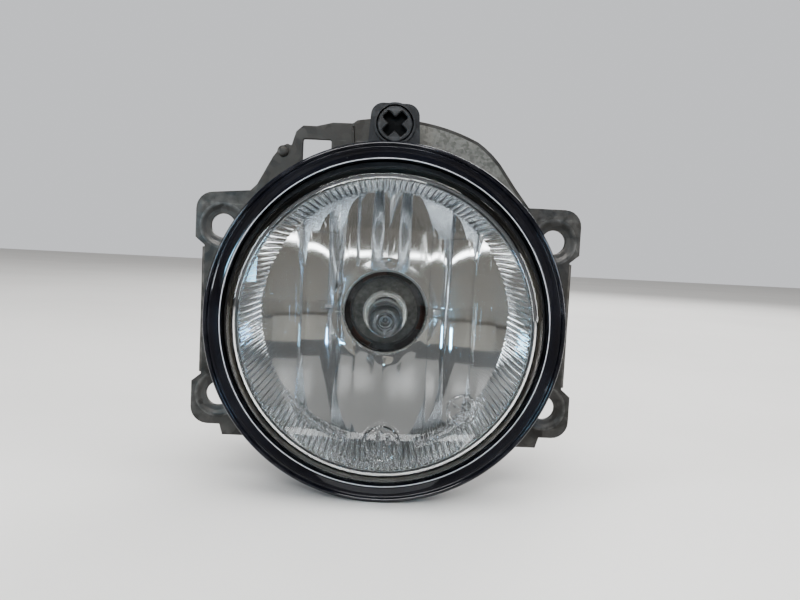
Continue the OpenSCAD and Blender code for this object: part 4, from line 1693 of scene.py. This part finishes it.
@dataclass
class HalogenBulb:
    """The halogen bulb: quartz capsule, coil, lead wires, ringed collar, base plate and seal."""

    glass: float = 5.6
    wall: float = 0.8
    tip: float = frame_low("bulb_glass", 1)
    pinch: float = 13.5
    plate: float = frame_low("bulb_plate", 1)

    def build_capsule(self) -> None:
        """Makes the quartz capsule, with a thick drawn-off tip and a flat pinch."""
        middle = self.tip + self.glass
        inner = self.glass - self.wall
        profile = [
            *arc((0, middle), self.glass, 270, 360, 20),
            (self.glass, self.pinch - 2), (self.glass, self.pinch),
            (self.glass - 0.5, self.pinch + 1.6), (4.0, self.pinch + 3.2), (3.6, self.pinch + 4.5),
            (3.6, self.plate + 0.8), (0, self.plate + 0.8), (0, self.pinch + 0.4), (2.2, self.pinch + 0.1),
            (inner - 0.6, self.pinch - 1.0), (inner, self.pinch - 3),
            *arc((0, middle), inner, 360, 300, 12),
            (1.9, self.tip + 1.5), (1.2, self.tip + 2.3), (0.6, self.tip + 2.8), (0, self.tip + 2.95),
        ]
        shape = Shape().lathe(profile, 96)
        shape.ship("quartz_capsule", ["bulb_glass"], [QUARTZ], sharp=50)

    def build_coil(self) -> None:
        """Makes the coiled filament and its lead wires."""
        start, end = low("bulb_filament", 1) + 0.15, high("bulb_filament", 1) - 0.15
        turns, steps = 9, 16
        helix = []
        for i in range(turns * steps + 1):
            a = 2 * math.pi * i / steps
            y = start + (end - start) * i / (turns * steps)
            helix.append((0.55 * math.cos(a), y, 0.55 * math.sin(a)))
        Shape().wire(helix, 0.13, 7).ship("filament_coil", ["bulb_filament"], [TUNGSTEN])
        leads = Shape()
        back = high("bulb_supports", 1)
        leads.wire([(0.5, end - 0.3, 0), (0.3, end + 0.5, 0), (0, end + 1.2, 0), (0, back, 0)], 0.22)
        side = 2.6
        leads.wire([(0, start - 0.1, 0.4), (0, start - 0.35, 1.1), (0, start - 0.3, side - 0.5),
                    (0, start + 0.15, side), (0, start + 1.2, side), (0, back, side)], 0.24)
        leads.ship("lead_wires", ["bulb_supports"], [LEAD_WIRE])

    def build_collar(self) -> None:
        """Makes the stepped collar with its slotted spring fingers."""
        front, back = low("bulb_collar", 1), high("bulb_collar", 1)
        steps = [
            (6.12, 0.35), (6.3, 0.05), (6.5, 0.1), (6.62, 0.4), (6.5, 1.0), (6.55, 1.5),
            (6.9, 1.75), (7.2, 1.85), (7.34, 2.1), (7.3, 2.6), (7.2, 3.2), (7.32, 3.9),
            (7.6, 4.2), (7.85, 4.5), (7.9, 4.9), (7.75, 5.6), (7.9, 6.4),
        ]
        profile = [*((r, front + y) for r, y in steps), (7.9, back - 0.8), (7.9, back), (6.12, back)]
        collar = Shape().lathe(profile, 128)
        for start, end in ((126, 228), (236, 304), (312, 414), (60, 63), (117, 121)):
            ring = [*arc((0, 0), 6.2, start, end, 24), *arc((0, 0), 5.68, end, start, 24)]
            collar.prism(ring, front + 0.7, front + 1.5, edge=0.12)
        collar.ship("ringed_collar", ["bulb_collar"], [COLLAR_STEEL], sharp=55)

    def build_plate(self) -> None:
        """Makes the base plate with two dimples, a raised bead and its rim."""
        back = high("bulb_plate", 1)
        outer = high("bulb_plate", 0)
        dimples = [circle((x, 10.0), 0.85, 24) for x in (-2.8, 2.8)]
        shape = Shape()
        shape.prism(circle((0, 0), outer, 96), self.plate, self.plate + 0.9, dimples, edge=0.2)
        shape.lathe([(0, self.plate + 0.7), (outer - 0.5, self.plate + 0.7),
                     (outer - 0.3, self.plate + 1.1), (outer - 0.5, back), (0, back)], 96)
        bead = [(9.0 * math.cos(a), self.plate + 0.1, 9.0 * math.sin(a))
                for a in (math.radians(62 + 56 * i / 16) for i in range(17))]
        shape.wire(bead, 0.34, 12)
        shape.ship("bulb_base_plate", ["bulb_plate"], [PLATE_STEEL])

    def build_seal(self) -> None:
        """Makes the sealing ring on the bulb's hub, with a moulding line."""
        start, end = low("bulb_oring", 1), high("bulb_oring", 1)
        outer = high("bulb_oring", 0)
        radius = (end - start) / 2
        centre = (outer - radius, (start + end) / 2)
        section = [(r + (0.06 if abs(y - centre[1]) < 0.1 and r > centre[0] else 0) - 0.06, y)
                   for r, y in arc(centre, radius, 0, 360, 24)[:-1]]
        Shape().lathe(section, 128).ship("hub_seal", ["bulb_oring"], [ORING_RED])

    def build(self) -> None:
        """Makes all of the bulb's own pieces."""
        self.build_capsule()
        self.build_coil()
        self.build_collar()
        self.build_plate()
        self.build_seal()
        CarriedPart("bulb_base", BASE_BLACK, 0.35).dress()
        CarriedPart("bulb_terminals", TERMINAL_BRASS, 0.15).dress()


# ---------------------------------------------------------------- studio

@dataclass(frozen=True)
class SoftBox:
    """A soft light that isn't seen itself, with its place and size in metres and its power in watts."""

    name: str
    place: Place
    size: tuple[float, float]
    power: float
    colour: Colour = (1.0, 1.0, 1.0)
    aim: Place = (0.0, 0.0, 0.0)
    on_gloss: bool = True
    through_glass: bool = True

    def hang(self) -> None:
        """Adds the light. The two flags say which faces mirror it: outer ones, and those behind the glass."""
        light = bpy.data.lights.new(self.name, "AREA")
        light.shape = "RECTANGLE"
        light.size, light.size_y = self.size
        light.energy = self.power
        light.color = self.colour
        holder = bpy.data.objects.new(self.name, light)
        holder.location = self.place
        holder.rotation_euler = (Vector(self.aim) - Vector(self.place)).to_track_quat("-Z", "Y").to_euler()
        holder.visible_camera = False
        holder.visible_glossy = self.on_gloss
        holder.visible_transmission = self.through_glass
        bpy.context.scene.collection.objects.link(holder)


@dataclass
class Studio:
    """A pale table, soft boxes, dark cards that the mirrors see, and the camera.

    Places and sizes are in metres and angles in degrees. The wall's three colours are what the
    camera sees, what lights dull faces and what glossy faces mirror.
    """

    floor_half: float = 3.0
    focal: float = 36.0 * 680 / 800
    eye: Place = (-0.0012, -0.2221, 0.0218)
    pitch: float = -4.02
    yaw: float = 1.48
    roll: float = 2.9
    card_half: float = 2.2
    card_far: float = -1.6
    card_height: float = 0.35
    card_colour: Colour = (0.42, 0.40, 0.365)
    mat_near: float = -0.034
    mat_lift: float = 0.001
    mat_colour: Colour = (0.10, 0.09, 0.078)
    table_colour: Colour = (0.70, 0.69, 0.67)
    wall_seen: Colour = (0.62, 0.63, 0.65)
    wall_fill: Colour = (0.36, 0.36, 0.365)
    wall_mirrored: Colour = (0.13, 0.13, 0.132)
    boxes: tuple[SoftBox, ...] = (
        SoftBox("ceiling_box", (0.05, -0.25, 1.2), (1.4, 0.5), 9, on_gloss=False, through_glass=False),
        SoftBox("ceiling_tube", (0.0, -0.35, 0.75), (0.9, 0.03), 1.4, through_glass=False),
        SoftBox("front_box", (-0.08, -0.72, 0.46), (0.42, 0.10), 3.2, through_glass=False),
        SoftBox("left_box", (-0.95, -0.55, 0.30), (0.22, 0.55), 5, (0.90, 0.95, 1.0)),
        SoftBox("right_box", (1.0, -0.45, 0.22), (0.20, 0.50), 4),
        SoftBox("sky_gap", (-0.36, -0.72, 0.10), (0.05, 0.16), 0.7, (0.35, 0.72, 1.0)),
        SoftBox("sky_gap_right", (0.40, -0.70, 0.12), (0.04, 0.12), 0.4, (0.35, 0.65, 1.0)),
        SoftBox("table_strip", (0.0, -0.072, CAD_BOX[0][2] + 0.002), (0.34, 0.0045), 0.034,
                aim=(0.0, -0.04, 0.1), on_gloss=False),
        SoftBox("room_ceiling", (0.0, -2.2, 1.6), (3.0, 3.8), 7, (1.0, 0.97, 0.92), aim=(0.0, -2.2, 0.0),
                on_gloss=False),
        SoftBox("hall_box", (0.0, 0.0, 4.0), (7.0, 7.0), 90, on_gloss=False, through_glass=False),
        SoftBox("back_box", (0.5, 1.1, 0.7), (0.8, 0.5), 9, through_glass=False),
    )

    def sheet(self, name: str, corners: Sequence[Place], colour: Colour,
              seen: bool = True) -> bpy.types.Object:
        """A flat card of the studio.

        Args:
            name: the card's name.
            corners: its four corners in metres.
            colour: its colour.
            seen: False for a card that only reflections show.

        Returns:
            The card.
        """
        data = bpy.data.meshes.new(name)
        data.from_pydata(corners, [], [(0, 1, 2, 3)])
        material = bpy.data.materials.new(name)
        material.use_nodes = True
        nodes = Nodes(material.node_tree)
        shader = material.node_tree.nodes["Principled BSDF"]
        shade = nodes.span(nodes.noise(6.0), 0.3, 0.7)
        nodes.feed(shader, base_color=nodes.mix(shade, colour, tuple(c * 0.94 for c in colour)))
        shader.inputs["Roughness"].default_value = 0.65
        shader.inputs["Specular IOR Level"].default_value = 0.2
        data.materials.append(material)
        card = bpy.data.objects.new(name, data)
        bpy.context.scene.collection.objects.link(card)
        if not seen:
            card.visible_camera = False
            card.visible_diffuse = False
            card.visible_shadow = False
        return card

    def light(self) -> None:
        """Adds the world and the lights."""
        world = bpy.data.worlds.new("studio")
        bpy.context.scene.world = world
        world.use_nodes = True
        nodes = Nodes(world.node_tree)
        path = nodes.add("LightPath")
        fill = nodes.mix(path.outputs["Is Diffuse Ray"], self.wall_mirrored, self.wall_fill)
        shade = nodes.mix(path.outputs["Is Camera Ray"], fill, self.wall_seen)
        nodes.feed(world.node_tree.nodes["Background"], color=shade)
        bpy.context.scene.view_settings.look = "AgX - Medium High Contrast"
        for box in self.boxes:
            box.hang()

    def build(self) -> None:
        """Adds the table, the dark cards, the lights and the camera."""
        half, bottom = self.floor_half, CAD_BOX[0][2]
        wide, far, near = self.card_half, self.card_far, self.mat_near
        top, above = self.card_height, bottom + self.mat_lift
        table = self.sheet("table", [(-half, -half, bottom), (half, -half, bottom), (half, half, bottom),
                                     (-half, half, bottom)], self.table_colour)
        front = self.sheet("dark_card", [(-wide, far, bottom), (wide, far, bottom), (wide, far, top),
                                         (-wide, far, top)], self.card_colour, seen=False)
        lying = self.sheet("dark_mat", [(-wide, far, above), (wide, far, above), (wide, near, above),
                                        (-wide, near, above)], self.mat_colour, seen=False)
        self.light()
        optics = bpy.data.cameras.new("camera")
        optics.sensor_width = 36.0
        optics.lens = self.focal
        optics.clip_start = 0.01
        camera = bpy.data.objects.new("camera", optics)
        camera.location = self.eye
        level = Euler((math.radians(90 + self.pitch), 0.0, math.radians(-self.yaw)), "XYZ").to_matrix()
        camera.rotation_euler = (level @ Matrix.Rotation(math.radians(self.roll), 3, "Z")).to_euler()
        bpy.context.scene.collection.objects.link(camera)
        bpy.context.scene.camera = camera


def main() -> None:
    """Builds every sub-assembly in turn and reports each piece."""
    logging.basicConfig(level=logging.INFO, format="%(name)s: %(message)s")
    Studio().build()
    SteelBracket().build()
    SidePivots().build()
    CarriedPart("adjuster_nut", NUT_NYLON).dress()
    CarriedPart("housing", HOUSING_BLACK, 0.35).dress()
    FrontRing().build()
    RingScrews().build()
    glass = FrontGlass()
    glass.build()
    glass.build_seal()
    FlutedWall().build()
    StripMirror().build()
    Breather().build()
    AimingScrew().build()
    HalogenBulb().build()


if __name__ == "__main__":
    main()
